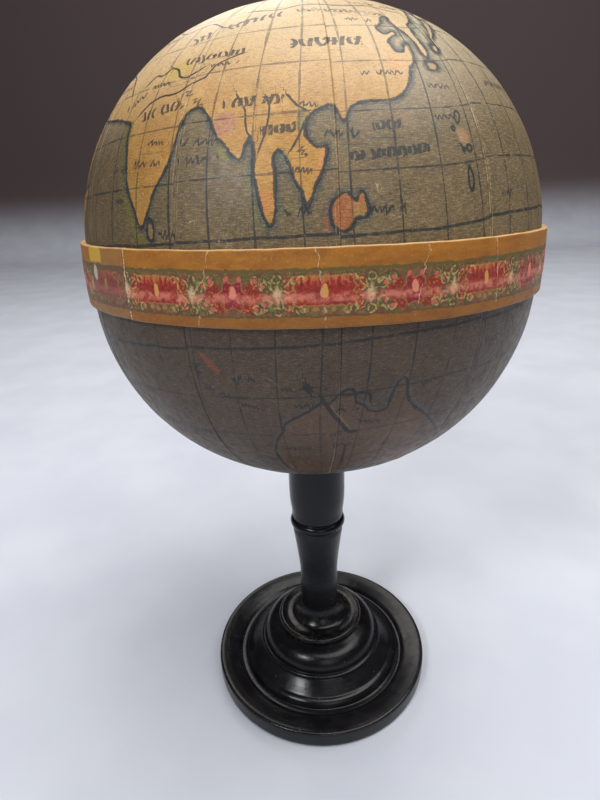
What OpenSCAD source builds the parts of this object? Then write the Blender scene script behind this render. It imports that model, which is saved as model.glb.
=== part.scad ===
// Table globe: two papier-mache half shells covered in printed paper gores,
// spinning on a steel spindle that stands in a turned wooden pillar and foot.
// Origin: middle of the foot's underside. +Z: up, along the spin axis. -Y: front.

/* [Globe] */
// Radius of the globe at its seam
globe_r = 48.2; // [40:0.2:60]
// Height of the north half above the seam
north_h = 46.2; // [43:0.1:50]
// Depth of the south half below the seam
south_h = 48.8; // [45:0.2:54]
// Radius of the flat at each pole: the larger it is, the fuller the shoulders
crest_r = 4.3; // [0:0.1:7]
// Wall of the papier-mache shells
shell_t = 2.2; // [1.5:0.1:3.5]
// Thickness of the printed paper
paper_t = 0.3; // [0.2:0.05:0.5]
// Number of paper gores in each half
gore_count = 12; // [6:1:12]
// Angle of the first gore's edge, counted from +X towards +Y
gore_start = -55; // [-180:1:180]
// Radius of the round paper at each pole
polar_r = 8; // [6:0.5:12]

/* [Equator band] */
// Height of the paper band over the seam
band_h = 11.2; // [8:0.2:16]
// Thickness of the band at the seam
band_t = 1.3; // [0.3:0.1:2]

/* [Spindle and poles] */
// Radius of the steel spindle
spindle_r = 1.5; // [1:0.1:2.5]
// Radial running clearance between bush and spindle
bush_clearance = 0.05; // [0.02:0.01:0.1]
// Radius of the pole bushes
bush_r = 3.2; // [2.8:0.1:4]
// Length of the pole bushes
bush_l = 9; // [6:0.5:14]
// Radius of the wooden core
core_r = 5.2; // [4.5:0.1:8]
// Gap between the spinning globe and the washers
spin_gap = 0.15; // [0.1:0.01:0.3]

/* [Stand] */
// Height of the globe's seam above the table
seam_z = 122.6; // [115:0.2:140]
// Radius of the foot
foot_r = 31.8; // [26:0.2:40]
// Height of the foot's rim
rim_h = 5.2; // [4:0.2:7]
// Radius of the pillar under the globe
pillar_r = 7.7; // [6.5:0.1:9]
// Radius of the pillar's waist
waist_r = 5.45; // [5:0.05:6.5]

/* [Hidden] */
$fn = 96;

// Each half's section is one arc from globe_r at the seam to its own height at crest_r.
arc_reach = globe_r - crest_r;
north_r = (arc_reach * arc_reach + north_h * north_h) / (2 * north_h);
south_r = (arc_reach * arc_reach + south_h * south_h) / (2 * south_h);
north_c = north_h - north_r;
south_c = south_r - south_h;

gore_arc = 360 / gore_count;
north_pole_z = seam_z + north_h;
south_pole_z = seam_z - south_h;

// The band is thin, so it gets finer steps round it than the rest
band_steps = 480;

// Seam hoop inside the shells
hoop_h = 12;
hoop_t = 1.2;

// Bushes stand a little proud of the poles
bush_proud = 0.12;
core_bore_r = spindle_r + 0.5;

// Washers and button
washer_t = 0.5;
thrust_r = 5;
top_washer_r = 3.9;
button_r = 4.2;
button_h = 4.6;
button_base_h = 1.2;

// Pillar: its top is recessed for the thrust washer, so that the globe sits close above it
washer_floor_z = south_pole_z - bush_proud - spin_gap - washer_t;
recess_r = thrust_r + 0.2;
pillar_top = south_pole_z - 0.1;
bead_z = 50.2;
bead_r = 1.4;
neck_r = pillar_r - 0.5;
waist_top = 33.5;
cove_r = 5.8;
cove_angle = 50;
spindle_foot_z = pillar_top - 22;

// Foot and the collar that the pillar stands in
collar_r = 12.6;
collar_top = 17;
collar_bottom = 15;
lip_r = 0.9;
tenon_r = 4;
tenon_bottom = 4.6;
screw_r = 1.75;
screw_head_r = 3.6;
screw_top = tenon_bottom + 9;
sink_h = 3;
sink_r = 4.2;
head_h = 2.2;
chamfer = 0.4;

function two_digits(k) = k < 10 ? str("0", k) : str(k);

// Points on an arc around (cx, cz), from angle a to angle b.
function arc(cx, cz, r, a, b, steps = 8) =
    [for (i = [0 : steps]) let (t = a + (b - a) * i / steps) [cx + r * cos(t), cz + r * sin(t)]];

// ---- The globe's two halves -------------------------------------------------

// Half-plane section of a solid half globe, its surface lowered by depth.
module half_disc(north, depth = 0, steps = 180) {
    arc_r = (north ? north_r : south_r) - depth;
    arc_z = north ? north_c : south_c;
    translate([0, seam_z])
        intersection() {
            union() {
                translate([crest_r, arc_z])
                    circle(r = arc_r, $fn = steps);
                translate([0, north ? 0 : arc_z - arc_r])
                    square([crest_r, north ? arc_z + arc_r : arc_r - arc_z]);
            }
            translate([0, north ? 0 : -2 * globe_r])
                square(2 * globe_r);
        }
}

// Section of a half globe's skin, from depth d0 to depth d1 below its surface.
module skin_section(north, d0, d1, inner_x, outer_x = 100) {
    intersection() {
        difference() {
            half_disc(north, d0);
            half_disc(north, d1);
        }
        translate([inner_x, 0])
            square([outer_x - inner_x, 2 * seam_z]);
    }
}

module shell(north) {
    rotate_extrude($fn = 180)
        skin_section(north, paper_t, paper_t + shell_t, inner_x = bush_r);
}

module north_shell() {
    color("burlywood") shell(true);
}

module south_shell() {
    color("burlywood") shell(false);
}

// Card hoop glued inside, across the seam.
module seam_hoop() {
    wall = paper_t + shell_t;
    color("tan")
        rotate_extrude($fn = 180)
            intersection() {
                union() {
                    skin_section(true, wall, wall + hoop_t, inner_x = globe_r / 2);
                    skin_section(false, wall, wall + hoop_t, inner_x = globe_r / 2);
                }
                translate([0, seam_z - hoop_h / 2])
                    square([2 * globe_r, hoop_h]);
            }
}

// One printed lune of paper, from the seam to the polar paper.
module gore(north, k) {
    rotate([0, 0, gore_start + (k - 1) * gore_arc])
        rotate_extrude(angle = gore_arc, $fn = 180)
            skin_section(north, 0, paper_t, inner_x = polar_r);
}

module gore_north(k) {
    color(k % 2 == 0 ? "goldenrod" : "darkkhaki") gore(true, k);
}

module gore_south(k) {
    color(k % 2 == 0 ? "rosybrown" : "dimgray") gore(false, k);
}

module polar_cap(north) {
    rotate_extrude($fn = 180)
        skin_section(north, 0, paper_t, inner_x = bush_r, outer_x = polar_r);
}

module north_polar_cap() {
    color("khaki") polar_cap(true);
}

module south_polar_cap() {
    color("gray") polar_cap(false);
}

// Band of card and printed paper round the seam. It is straight-sided and stands proud.
module equator_band() {
    color("chocolate")
        rotate_extrude($fn = band_steps)
            difference() {
                translate([globe_r / 2, seam_z - band_h / 2])
                    square([globe_r / 2 + band_t, band_h]);
                half_disc(true, 0, band_steps);
                half_disc(false, 0, band_steps);
            }
}

// ---- The spin axis ----------------------------------------------------------

// Wooden core from pole to pole: it ties the shells together and holds both bushes.
module wooden_core() {
    wall = paper_t + shell_t;
    color("peru")
        difference() {
            rotate_extrude()
                intersection() {
                    translate([core_bore_r, 0])
                        square([core_r - core_bore_r, 2 * seam_z]);
                    union() {
                        half_disc(true, wall);
                        half_disc(false, wall);
                    }
                }
            translate([0, 0, north_pole_z + bush_proud - bush_l])
                cylinder(h = bush_l, r = bush_r);
            translate([0, 0, south_pole_z - bush_proud])
                cylinder(h = bush_l, r = bush_r);
        }
}

module bush(bottom_z) {
    color("goldenrod")
        translate([0, 0, bottom_z])
            difference() {
                cylinder(h = bush_l, r = bush_r);
                translate([0, 0, -1])
                    cylinder(h = bush_l + 2, r = spindle_r + bush_clearance);
            }
}

module north_bush() {
    bush(north_pole_z + bush_proud - bush_l);
}

module south_bush() {
    bush(south_pole_z - bush_proud);
}

module spindle() {
    top = north_pole_z + bush_proud + spin_gap + washer_t + button_base_h + 1.6;
    color("silver")
        translate([0, 0, spindle_foot_z])
            cylinder(h = top - spindle_foot_z, r = spindle_r);
}

module washer(bottom_z, r) {
    translate([0, 0, bottom_z])
        difference() {
            cylinder(h = washer_t, r = r);
            translate([0, 0, -1])
                cylinder(h = washer_t + 2, r = spindle_r);
        }
}

module thrust_washer() {
    color("sienna") washer(washer_floor_z, thrust_r);
}

module top_washer() {
    color("gold") washer(north_pole_z + bush_proud + spin_gap, top_washer_r);
}

// Domed button pressed on the spindle's end.
module pole_button() {
    base_z = north_pole_z + bush_proud + spin_gap + washer_t;
    dome_h = button_h - button_base_h;
    dome_r = (button_r * button_r + dome_h * dome_h) / (2 * dome_h);
    color("gold")
        translate([0, 0, base_z])
            difference() {
                union() {
                    cylinder(h = button_base_h, r = button_r);
                    rotate_extrude()
                        intersection() {
                            translate([0, button_h - dome_r]) circle(r = dome_r);
                            translate([0, button_base_h]) square([button_r, dome_h]);
                        }
                }
                translate([0, 0, -1])
                    cylinder(h = 1 + button_base_h + 1.6, r = spindle_r);
            }
}

// ---- The stand --------------------------------------------------------------

// Turned pillar, from below: tenon, collar, cove, waist, taper, bead, neck, straight top.
module pillar_section() {
    taper_top_r = neck_r - 0.1;
    taper_top = bead_z - bead_r - 1.2;
    taper_h = taper_top - waist_top;
    mouth_r = waist_r + cove_r * (1 - cos(cove_angle));
    cove_z = collar_top + cove_r * sin(cove_angle);
    polygon(concat(
        [[0, tenon_bottom], [tenon_r - chamfer, tenon_bottom], [tenon_r, tenon_bottom + chamfer]],
        [[tenon_r, collar_bottom], [collar_r - lip_r, collar_bottom]],
        arc(collar_r - lip_r, collar_bottom + lip_r, lip_r, -90, 120, 10),
        [[collar_r - 2.6, collar_top - 0.7], [mouth_r + 0.6, collar_top - 0.5], [mouth_r, collar_top]],
        arc(waist_r + cove_r, cove_z, cove_r, 180 + cove_angle, 180),
        [for (i = [0 : 6])
            [waist_r + (taper_top_r - waist_r) * pow(i / 6, 1.2), waist_top + taper_h * i / 6]],
        arc(pillar_r - bead_r, bead_z, bead_r, -75, 75, 10),
        [[neck_r, bead_z + bead_r + 0.6], [neck_r, bead_z + bead_r + 1.6], [pillar_r - 0.15, bead_z + 6.5]],
        [[pillar_r, bead_z + 9], [pillar_r, pillar_top - chamfer], [pillar_r - chamfer, pillar_top]],
        [[recess_r, pillar_top], [recess_r, washer_floor_z], [0, washer_floor_z]]
    ));
}

module pillar() {
    color([0.12, 0.12, 0.14])
        difference() {
            rotate_extrude()
                pillar_section();
            translate([0, 0, spindle_foot_z])
                cylinder(h = pillar_top, r = spindle_r);
            translate([0, 0, tenon_bottom - 1])
                cylinder(h = screw_top - tenon_bottom + 1, r = screw_r);
        }
}

// Turned foot: rim, shallow dished ring, groove, ovolo, slope, fillet, dome, seat for the collar.
module foot_section() {
    groove_r = foot_r - 6;
    ovolo_r = 2.2;
    ovolo_x = groove_r - 4.6;
    fillet_r = 17.9;
    dome_r = 5.2;
    polygon(concat(
        [[0, 0], [foot_r - 0.7, 0], [foot_r, 0.9], [foot_r, rim_h - 0.7], [foot_r - 0.6, rim_h]],
        [[foot_r - 3, rim_h - 0.5], [groove_r, rim_h - 1.4], [groove_r - 0.9, rim_h - 2.1]],
        [[ovolo_x + ovolo_r, rim_h - 2.1]],
        arc(ovolo_x, rim_h - 1.9, ovolo_r, 0, 80, 8),
        [[fillet_r + 0.3, 8.6], [fillet_r + 0.3, 9.1], [fillet_r - 0.3, 9.3]],
        arc(fillet_r - 0.5 - dome_r, 9.3, dome_r, 0, 78, 8),
        [[collar_r - 1.2, collar_bottom], [0, collar_bottom]]
    ));
}

module foot() {
    color([0.1, 0.1, 0.12])
        difference() {
            rotate_extrude()
                foot_section();
            translate([0, 0, tenon_bottom])
                cylinder(h = collar_top, r = tenon_r);
            translate([0, 0, -1])
                cylinder(h = tenon_bottom + 2, r = screw_r);
            translate([0, 0, -1])
                cylinder(h = sink_h + 1, r = sink_r);
        }
}

// Wood screw from below: it draws the tenon into the foot.
module foot_screw() {
    color("silver")
        difference() {
            union() {
                translate([0, 0, sink_h - head_h])
                    cylinder(h = head_h, r = screw_head_r);
                translate([0, 0, sink_h - 0.1])
                    cylinder(h = screw_top - sink_h + 0.1, r = screw_r);
            }
            translate([-screw_head_r, -0.4, sink_h - head_h - 0.1])
                cube([2 * screw_head_r, 0.8, 0.9]);
        }
}

foot();
pillar();
foot_screw();
spindle();
thrust_washer();
top_washer();
pole_button();
north_shell();
south_shell();
seam_hoop();
wooden_core();
north_bush();
south_bush();
equator_band();
north_polar_cap();
south_polar_cap();
for (k = [1 : gore_count]) {
    gore_north(k);
    gore_south(k);
}
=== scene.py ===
"""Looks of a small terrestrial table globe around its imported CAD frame.

The paper map, the equator band and the turned stand are meshes made here; spindle, washers,
button and the inside parts keep their CAD shapes and get materials. Lengths are in metres.
"""
import math

import bmesh
import bpy
import numpy as np
from mathutils import Matrix, Vector


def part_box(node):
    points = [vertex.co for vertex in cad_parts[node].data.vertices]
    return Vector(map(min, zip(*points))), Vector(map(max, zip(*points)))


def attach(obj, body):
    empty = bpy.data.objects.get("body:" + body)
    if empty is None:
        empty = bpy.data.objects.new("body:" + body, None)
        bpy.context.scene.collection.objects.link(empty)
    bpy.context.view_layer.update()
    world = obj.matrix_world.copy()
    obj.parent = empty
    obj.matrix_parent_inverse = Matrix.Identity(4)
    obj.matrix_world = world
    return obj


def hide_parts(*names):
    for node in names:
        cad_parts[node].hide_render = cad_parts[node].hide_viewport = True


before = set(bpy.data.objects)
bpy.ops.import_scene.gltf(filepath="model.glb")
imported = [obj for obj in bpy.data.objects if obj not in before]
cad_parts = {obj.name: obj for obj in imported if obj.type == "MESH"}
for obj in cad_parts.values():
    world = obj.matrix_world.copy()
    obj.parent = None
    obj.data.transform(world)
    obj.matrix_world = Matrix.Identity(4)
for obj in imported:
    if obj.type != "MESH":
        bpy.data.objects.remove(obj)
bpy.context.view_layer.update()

MM = 0.001
TAU = 2 * math.pi

# ---- Sizes read from the frame ------------------------------------------------------------

PAPER = 0.3 * MM
band_low, band_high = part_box("equator_band")
SEAM_Z = (band_low.z + band_high.z) / 2
BAND_HALF = (band_high.z - band_low.z) / 2
BAND_R = band_high.x
CREST_R = 4.3 * MM
CAP_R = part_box("north_polar_cap")[1].x
HOLE_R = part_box("north_bush")[1].x
FOOT_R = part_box("foot")[1].x
PILLAR_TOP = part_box("pillar")[1].z
GORES = sum(n.startswith("gore_north_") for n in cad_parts)
GORE_ARC = 360 / GORES

# The map's longitudes: the front of the globe, -Y, shows 111 degrees east.
FRONT_LON = 111
FIRST_GORE_LON = 146


class Half:
    """The paper of one half: its section is an arc whose centre lies CREST_R off the axis."""

    def __init__(self, side):
        self.side = side
        self.label = "north" if side > 0 else "south"
        low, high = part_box(self.label + "_polar_cap")
        rise = high.z - SEAM_Z if side > 0 else SEAM_Z - low.z
        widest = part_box(self.label + "_shell")[1].x + PAPER
        self.centre = CREST_R + rise - widest
        self.ball = rise - self.centre
        self.seam_angle = math.acos(-self.centre / self.ball)
        self.seam_r = CREST_R + math.sqrt(self.ball**2 - self.centre**2)

    def polar_angle(self, radius):
        """Angle from the pole of the circle of that radius."""
        return math.asin((radius - CREST_R) / self.ball)

    def radius_at(self, height):
        """Radius of the surface at that distance from the seam plane."""
        return CREST_R + math.sqrt(self.ball**2 - (height - self.centre) ** 2)

    def latitude(self, polar):
        """Latitude on the ball in degrees: 0 at the seam, 90 at the pole."""
        return self.side * 90 * (1 - polar / self.seam_angle)

    def points(self, lon, polar, lift):
        """Positions for longitude in degrees, angle from the pole, and height above the surface."""
        turn = np.radians(lon - FRONT_LON - 90)
        reach = self.ball + lift
        ring = CREST_R + reach * np.sin(polar)
        z = SEAM_Z + self.side * (self.centre + reach * np.cos(polar))
        return np.stack([ring * np.cos(turn), ring * np.sin(turn), z], -1)


NORTH, SOUTH = Half(1), Half(-1)
GLOBE_R = NORTH.seam_r
DEG_MM = GLOBE_R / MM * math.pi / 180

# ---- Meshes -------------------------------------------------------------------------------

CORNER_CUT = 0.35 * MM


def make_mesh(name, verts, faces, attributes=()):
    """A mesh object from arrays. attributes are (name, kind, values) on the points."""
    mesh = bpy.data.meshes.new(name)
    mesh.from_pydata(verts.tolist(), [], faces.tolist())
    fields = {"FLOAT": "value", "FLOAT_VECTOR": "vector", "FLOAT_COLOR": "color"}
    for label, kind, values in attributes:
        layer = mesh.attributes.new(label, kind, "POINT")
        layer.data.foreach_set(fields[kind], np.asarray(values, np.float32).ravel())
    mesh.polygons.foreach_set("use_smooth", [True] * len(mesh.polygons))
    mesh.update()
    obj = bpy.data.objects.new(name, mesh)
    bpy.context.scene.collection.objects.link(obj)
    return obj


def grid_faces(rows, cols, closed=False, flip=False):
    """Quads of a rows x cols grid of points, closed round its columns or not."""
    r = np.arange(rows - 1)[:, None]
    c = np.arange(cols if closed else cols - 1)[None, :]
    n = (c + 1) % cols
    quads = np.stack([r * cols + c, r * cols + n, (r + 1) * cols + n, (r + 1) * cols + c], -1)
    quads = quads.reshape(-1, 4)
    return quads[:, ::-1] if flip else quads


def refine(points, step):
    """An outline with its corners rounded off twice and points at most step apart."""
    points = np.array(points, float)
    for _ in range(2):
        cut = [points[0]]
        for a, b in zip(points[:-1], points[1:]):
            share = min(0.25, CORNER_CUT / max(np.linalg.norm(b - a), 1e-9))
            cut += [a + (b - a) * share, b + (a - b) * share]
        points = np.array(cut + [points[-1]])
    fine = [points[0]]
    for a, b in zip(points[:-1], points[1:]):
        n = max(1, math.ceil(np.linalg.norm(b - a) / step))
        fine += [a + (b - a) * (i + 1) / n for i in range(n)]
    fine = np.array(fine)
    keep = np.r_[True, np.linalg.norm(np.diff(fine, axis=0), axis=1) > 1e-7]
    return fine[keep]


def edge_share(outline):
    """How much each outline point sticks out as a convex corner, 0 to 1."""
    bend = np.zeros(len(outline))
    span = 3
    for i in range(span, len(outline) - span):
        a = outline[i] - outline[i - span]
        b = outline[i + span] - outline[i]
        bend[i] = (a[0] * b[1] - a[1] * b[0]) / (np.linalg.norm(a) * np.linalg.norm(b) + 1e-12)
    return np.clip(bend, 0, 1)


# ---- The drawn map ------------------------------------------------------------------------
# The map is drawn on its own printed squares, as a copyist does. squares() takes
# column,row: columns count meridians east of the one at the front, rows count parallels from
# the equator line, and south is negative. What the front doesn't show is in plain degrees.

MERIDIAN_STEP = 8.4
PARALLEL_STEP = 10
FAR = 12.0
# Longitude of the middle meridian, ball latitude of the equator line, ball degrees for each
# printed degree, and how much the parallels climb eastwards, on each half's own printing
PRINTING = {1: (109.8, 9.2, 1.075, 0.035), -1: (112.4, 10.0, 1.1, 0.05)}
SOUTH_CLEAR = 0.2

table_lat = np.linspace(-90, 90, 721)


def drawn_latitudes(half):
    """Ball latitudes of the printed ones: even parallels that close up towards the pole."""
    _, first, scale, _ = PRINTING[half.side]
    close_up = first + scale * 90 - 90
    poleward = np.clip(half.side * table_lat, 0, None) / 90
    return half.side * first + scale * table_lat - half.side * close_up * poleward**3


def from_front(lon):
    return (lon - FRONT_LON + 180) % 360 - 180


def climb(half, lon):
    """How far the parallels have climbed at that longitude, in degrees."""
    off = from_front(lon)
    slip = 1.2 / (1 + np.exp(-(off - 32) / 2.5)) * (half.side > 0)
    return (PRINTING[half.side][3] * off + slip) * np.clip((90 - np.abs(off)) / 30, 0, 1)


def spread(lon, lat):
    """How far the printed map is stretched east of its front meridian, in degrees."""
    off = from_front(lon)
    low = np.clip(1.15 - np.abs(lat) / 40, 0.3, 1)
    return np.where((off > 0) & (off < 90), 1.25 * np.sin(np.radians(2 * off)) * low, 0)


def placed(points, half, shift=0):
    """Printed degrees to longitude and latitude on the ball."""
    lat = np.interp(points[:, 1], table_lat, drawn_latitudes(half)) + climb(half, points[:, 0])
    return np.stack([points[:, 0] + shift + spread(points[:, 0], lat), lat], -1)


def outline(text):
    return np.array([[float(x) for x in pair.split(",")] for pair in text.split()])


def squares(text):
    """Printed degrees of column,row points on the squares of one half."""
    cells = outline(text)
    middle = PRINTING[1 if cells[:, 1].sum() > 0 else -1][0]
    return np.stack([middle + MERIDIAN_STEP * cells[:, 0], PARALLEL_STEP * cells[:, 1]], -1)


SOUTH_ASIA = squares(
    "-6.4,2.55 -5.6,2.45 -5.1,2.35 -4.75,2.25 -4.7,2 -4.55,1.65 -4.4,1.2 -4.25,0.9 -4,0.6 -3.8,0.3"
    " -3.55,0.6 -3.4,0.9 -3.15,1.2 -3,1.5 -2.9,1.85 -2.85,2.05 -2.7,2.25 -2.4,2.3 -2.1,2.05"
    " -2,1.9 -1.85,1.7 -1.7,1.6 -1.5,1.4 -1.3,1.3 -1.2,1.5 -1.1,1.65 -1,1.4 -1,1.1 -0.95,0.9"
    " -0.9,0.7 -0.8,0.4 -0.65,0.2 -0.55,0.4 -0.55,0.75 -0.55,1.05 -0.6,1.25 -0.5,1.4 -0.4,1.35"
    " -0.25,1.15 -0.15,0.9 0,0.7 0.1,0.45 0.25,0.75 0.4,1 0.5,1.25 0.5,1.4 0.3,1.4 0.1,1.6"
    " 0.1,1.8 0.2,1.95 0.4,2.05 0.7,2.1 0.9,1.8"
)
EAST_ASIA = squares(
    "1.05,2 1.2,2.1 1.5,2.15 1.9,2.15 2.25,2.2 2.55,2.4 2.7,2.6 2.8,2.8 3,2.95 3.1,3.2 3.1,3.4"
    " 2.95,3.4 2.8,3.2 2.6,3.2 2.5,3.35 2.5,3.5 2.75,3.65 2.9,3.7 2.8,3.8 2.65,3.75 2.45,3.7"
    " 2.3,3.9 2.45,4 2.6,4.1 2.75,4.35 3.05,4.4 3,4.15 3.1,4 3.2,3.85 3.3,3.7 3.4,3.45 3.4,3.2"
    " 3.55,3.05 3.65,3.2 3.65,3.4 3.6,3.7 3.65,3.9 3.7,4.1 4,4.25 4.4,4.6 4.8,5 4.7,5.6"
)
NORTH_AND_EUROPE = outline(
    "160,61 162,56 164,51 168,56 170,60 178,61 184,64 180,69 165,70 145,73 130,73 113,74"
    " 104,77 90,75 80,73 73,71 68,69 60,69 50,68 44,67 40,65 34,67 41,67.5 33,69.5 26,71"
    " 18,69.5 13,66 8,63 5,60 7,58 11,59 12.5,56 16,57 18.5,60 21.5,63.5 25,65.5 22,63"
    " 21.5,60.5 28,60 23,58.5 21,55.5 14,54 10.5,54 10.5,57.5 8,57 8,54 4,52.5 1,50.5 -2,48.8"
    " -4.5,48.3 -1.5,46 -2,43.5 -9,43 -9,38.5 -6,36.5 -2,36.8 0,39 3,42 6,43.2 9,44 12,42"
    " 15.5,39.5 16,38 17,40.5 13,44 13,45.5 15,45 19,42 21,38 23,37 24,40.5 28,41 27,38"
    " 28,36.8 32,36.3 36,36.5 35,33 34,31.3 33.5,30 35,28 38,23 42,16 43,12.5 46,13 49,16"
    " 51,20 51,24 48,28 51,26.5"
)
NORTH_AUSTRALIA = squares(
    "-1.35,-3.1 -1.4,-2.6 -1.2,-2.1 -1,-1.85 -0.93,-1.65 -0.75,-1.55 -0.55,-1.45 -0.25,-1.3"
    " 0,-1.15 0.15,-1.2 0.37,-1 0.6,-0.9 0.75,-0.97 0.8,-1.2 1,-1.3 1.15,-1.45 1.4,-1.5"
    " 1.6,-1.45 1.65,-1.2 1.75,-0.9 1.9,-0.8 2,-0.95 2.1,-1.25 2.3,-1.5 2.75,-1.8 3.4,-2.3"
)
SOUTH_AUSTRALIA = outline("147,-30 147,-36 143,-41 136,-42 128,-38 118,-40 109,-42 103,-39")
CEYLON = "-3.55,0.45 -3.6,0.25 -3.55,0.1 -3.42,0.1 -3.4,0.28 -3.47,0.42"
KYUSHU = "3.95,3.35 4.05,3.42 4.2,3.35 4.15,3.2 4,3.2"
SHIKOKU = "3.4,2.95 3.6,2.95 3.75,2.85 3.6,2.75 3.4,2.78"

LANDS = [
    np.concatenate([SOUTH_ASIA, EAST_ASIA, NORTH_AND_EUROPE]),
    np.concatenate([NORTH_AUSTRALIA, SOUTH_AUSTRALIA]),
    # Borneo and the smaller islands
    squares(
        "0.97,0.57 0.85,0.65 0.7,0.6 0.55,0.47 0.55,0.27 0.6,0.14 0.8,0.05 0.95,0.14 1.05,0.25"
        " 1.2,0.25 1.3,0.35 1.25,0.5 1.2,0.63 1.12,0.64 1.05,0.5"
    ),
    squares(CEYLON),
    squares(KYUSHU),
    squares(SHIKOKU),
    squares("4.15,3.45 4.35,3.6 4.7,3.85 5.1,4.2 5,4.45 4.7,4.15 4.4,3.8 4.2,3.6"),
    squares("5,4.6 5.6,4.55 5.4,4.9"),
    # Africa
    outline(
        "-6,35.5 0,36 10,37 11,34 15,32 20,31 25,31.8 32,31.2 34,31 33.5,28 37,21 39,15.5 43,12"
        " 45,10.5 51,12 48,5 42,-1 39,-6 40.5,-12 37,-18 35,-20 35.5,-24 32.5,-26 30,-31 25,-34"
        " 19,-34.5 17,-30 14.5,-24 12,-17 13.5,-11 9,-1 9.5,4 5,4.5 -2,5 -8,4.5 -13,8.5 -17,13.5"
        " -17,21 -13,27.5 -9.5,31"
    ),
    # North America
    outline(
        "-168,66 -156,71 -130,70 -115,68 -95,68 -84,69 -86,65 -94,60 -92,57 -82,55 -79,51.5"
        " -77,55 -78,62 -66,59 -60,55 -56,52 -66,50 -60,46 -70,43 -74,40 -76,35 -81,31 -80,26"
        " -82,29 -89,30 -97,27 -97,21 -91,18.5 -87,21 -88,16 -83.5,14.5 -83,9.5 -78,9 -80,7.5"
        " -85,10 -88,13 -96,15.8 -105,20 -109.5,25 -113,30 -112,28 -110,23.5 -115,29 -117.5,33"
        " -124,40 -123,48 -131,54 -140,60 -151,60 -158,56 -164,55 -158,59 -165,61.5"
    ),
    # South America
    outline(
        "-78,8 -72,12 -62,10.5 -52,5 -50,0 -42,-3 -35,-6 -39,-15 -41,-22 -48,-26 -54,-34 -58,-37"
        " -63,-41 -66,-46 -69,-52 -72,-54 -75,-50 -73,-40 -71.5,-30 -70.5,-18.5 -76,-14 -81,-6"
        " -80,-1 -77,4"
    ),
    # Greenland, Iceland, British Isles, Novaya Zemlya
    outline("-45,60 -52,65 -54,70 -68,76 -55,82 -30,83 -18,78 -22,71 -38,65.5"),
    outline("-24,64 -14,65 -18,66.5 -23,66"),
    outline("-5,50 1,51 0,54 -3,58.5 -6,57 -4,53.5"),
    outline("-10,52 -6,52 -6,55 -9.5,54.5"),
    outline("52,71 56,71 66,76 68,77 58,75"),
    # Madagascar, New Zealand, Tasmania
    outline("49,-12 50,-16 47,-25 44,-23 44.5,-17"),
    outline("173,-35 178,-38 174,-42 168,-47 166,-45 171,-40"),
    outline("136,-45 140,-45 138.5,-48"),
    # West Indies
    outline("-85,22 -75,20 -80,23"),
    outline("-74,19 -69,18.5 -71,20"),
]
SEAS_INSIDE = [
    outline("28,42 31,41.3 36,42 41,41.5 38,45 34,46 31,46"),
    outline("50,45 53,42 54,37 50,38 48,43"),
    outline("-92,48 -85,47 -80,44 -84,46"),
]
# Colour washes on the squares: outline, colour 0-255, opacity, softness of the edge in mm
WASHES = [
    ("-1.95,2.1 -1.6,2.15 -1.45,2 -1.5,1.8 -1.85,1.7 -2,1.85", (176, 118, 96), 0.85, 0.5),
    ("0.45,0.5 0.4,0.2 0.5,0.05 0.95,0.05 1,0.3 0.95,0.6 0.7,0.65", (150, 78, 40), 0.9, 0.5),
    ("1,0.45 1.05,0.55 1.15,0.65 1.25,0.55 1.2,0.4", (160, 92, 54), 0.85, 0.5),
    ("1.05,0.4 1.4,0.35 1.4,0.05 1,0.05", (104, 92, 58), 0.6, 1.4),
    (
        "-2.87,-0.05 -2.65,-0.12 -2.42,-0.3 -2.35,-0.45 -2.45,-0.52 -2.6,-0.4 -2.75,-0.25",
        (128, 66, 38), 0.9, 0.4,
    ),
    (CEYLON, (138, 104, 80), 0.9, 0.5),
    ("3.55,1.58 3.85,1.5 3.85,1.3 3.6,1.32", (176, 130, 92), 0.75, 1.0),
    ("1.9,1.95 2.5,1.95 2.5,1.65 1.9,1.65", (140, 108, 82), 0.5, 2.5),
    (SHIKOKU, (186, 140, 100), 0.8, 0.4),
    (KYUSHU, (206, 170, 130), 0.8, 0.5),
    ("4,3.6 4.7,3.9 4.9,4.3 4.3,4.1", (134, 140, 112), 0.7, 1.5),
    ("-4,3.05 -3.1,3.1 -3.2,3.5 -4,3.5", (196, 168, 70), 0.55, 2.0),
    ("2.3,2.6 2.8,2.9 2.75,3.1 2.2,3.1", (222, 160, 108), 0.5, 2.0),
    ("0.25,0.9 0.5,1.2 0.55,1.4 0.4,1.35", (214, 134, 90), 0.6, 0.8),
    ("-0.8,0.4 -0.6,0.45 -0.6,0.75 -0.85,0.7", (212, 128, 72), 0.6, 0.8),
    ("-0.75,2.05 -0.3,2.05 -0.3,2.4 -0.75,2.4", (226, 172, 98), 0.5, 2.0),
    ("1.6,-1.8 2.5,-1.7 3.1,-2.3 2.4,-2.7 1.5,-2.4", (134, 96, 72), 0.45, 3.0),
]
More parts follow.
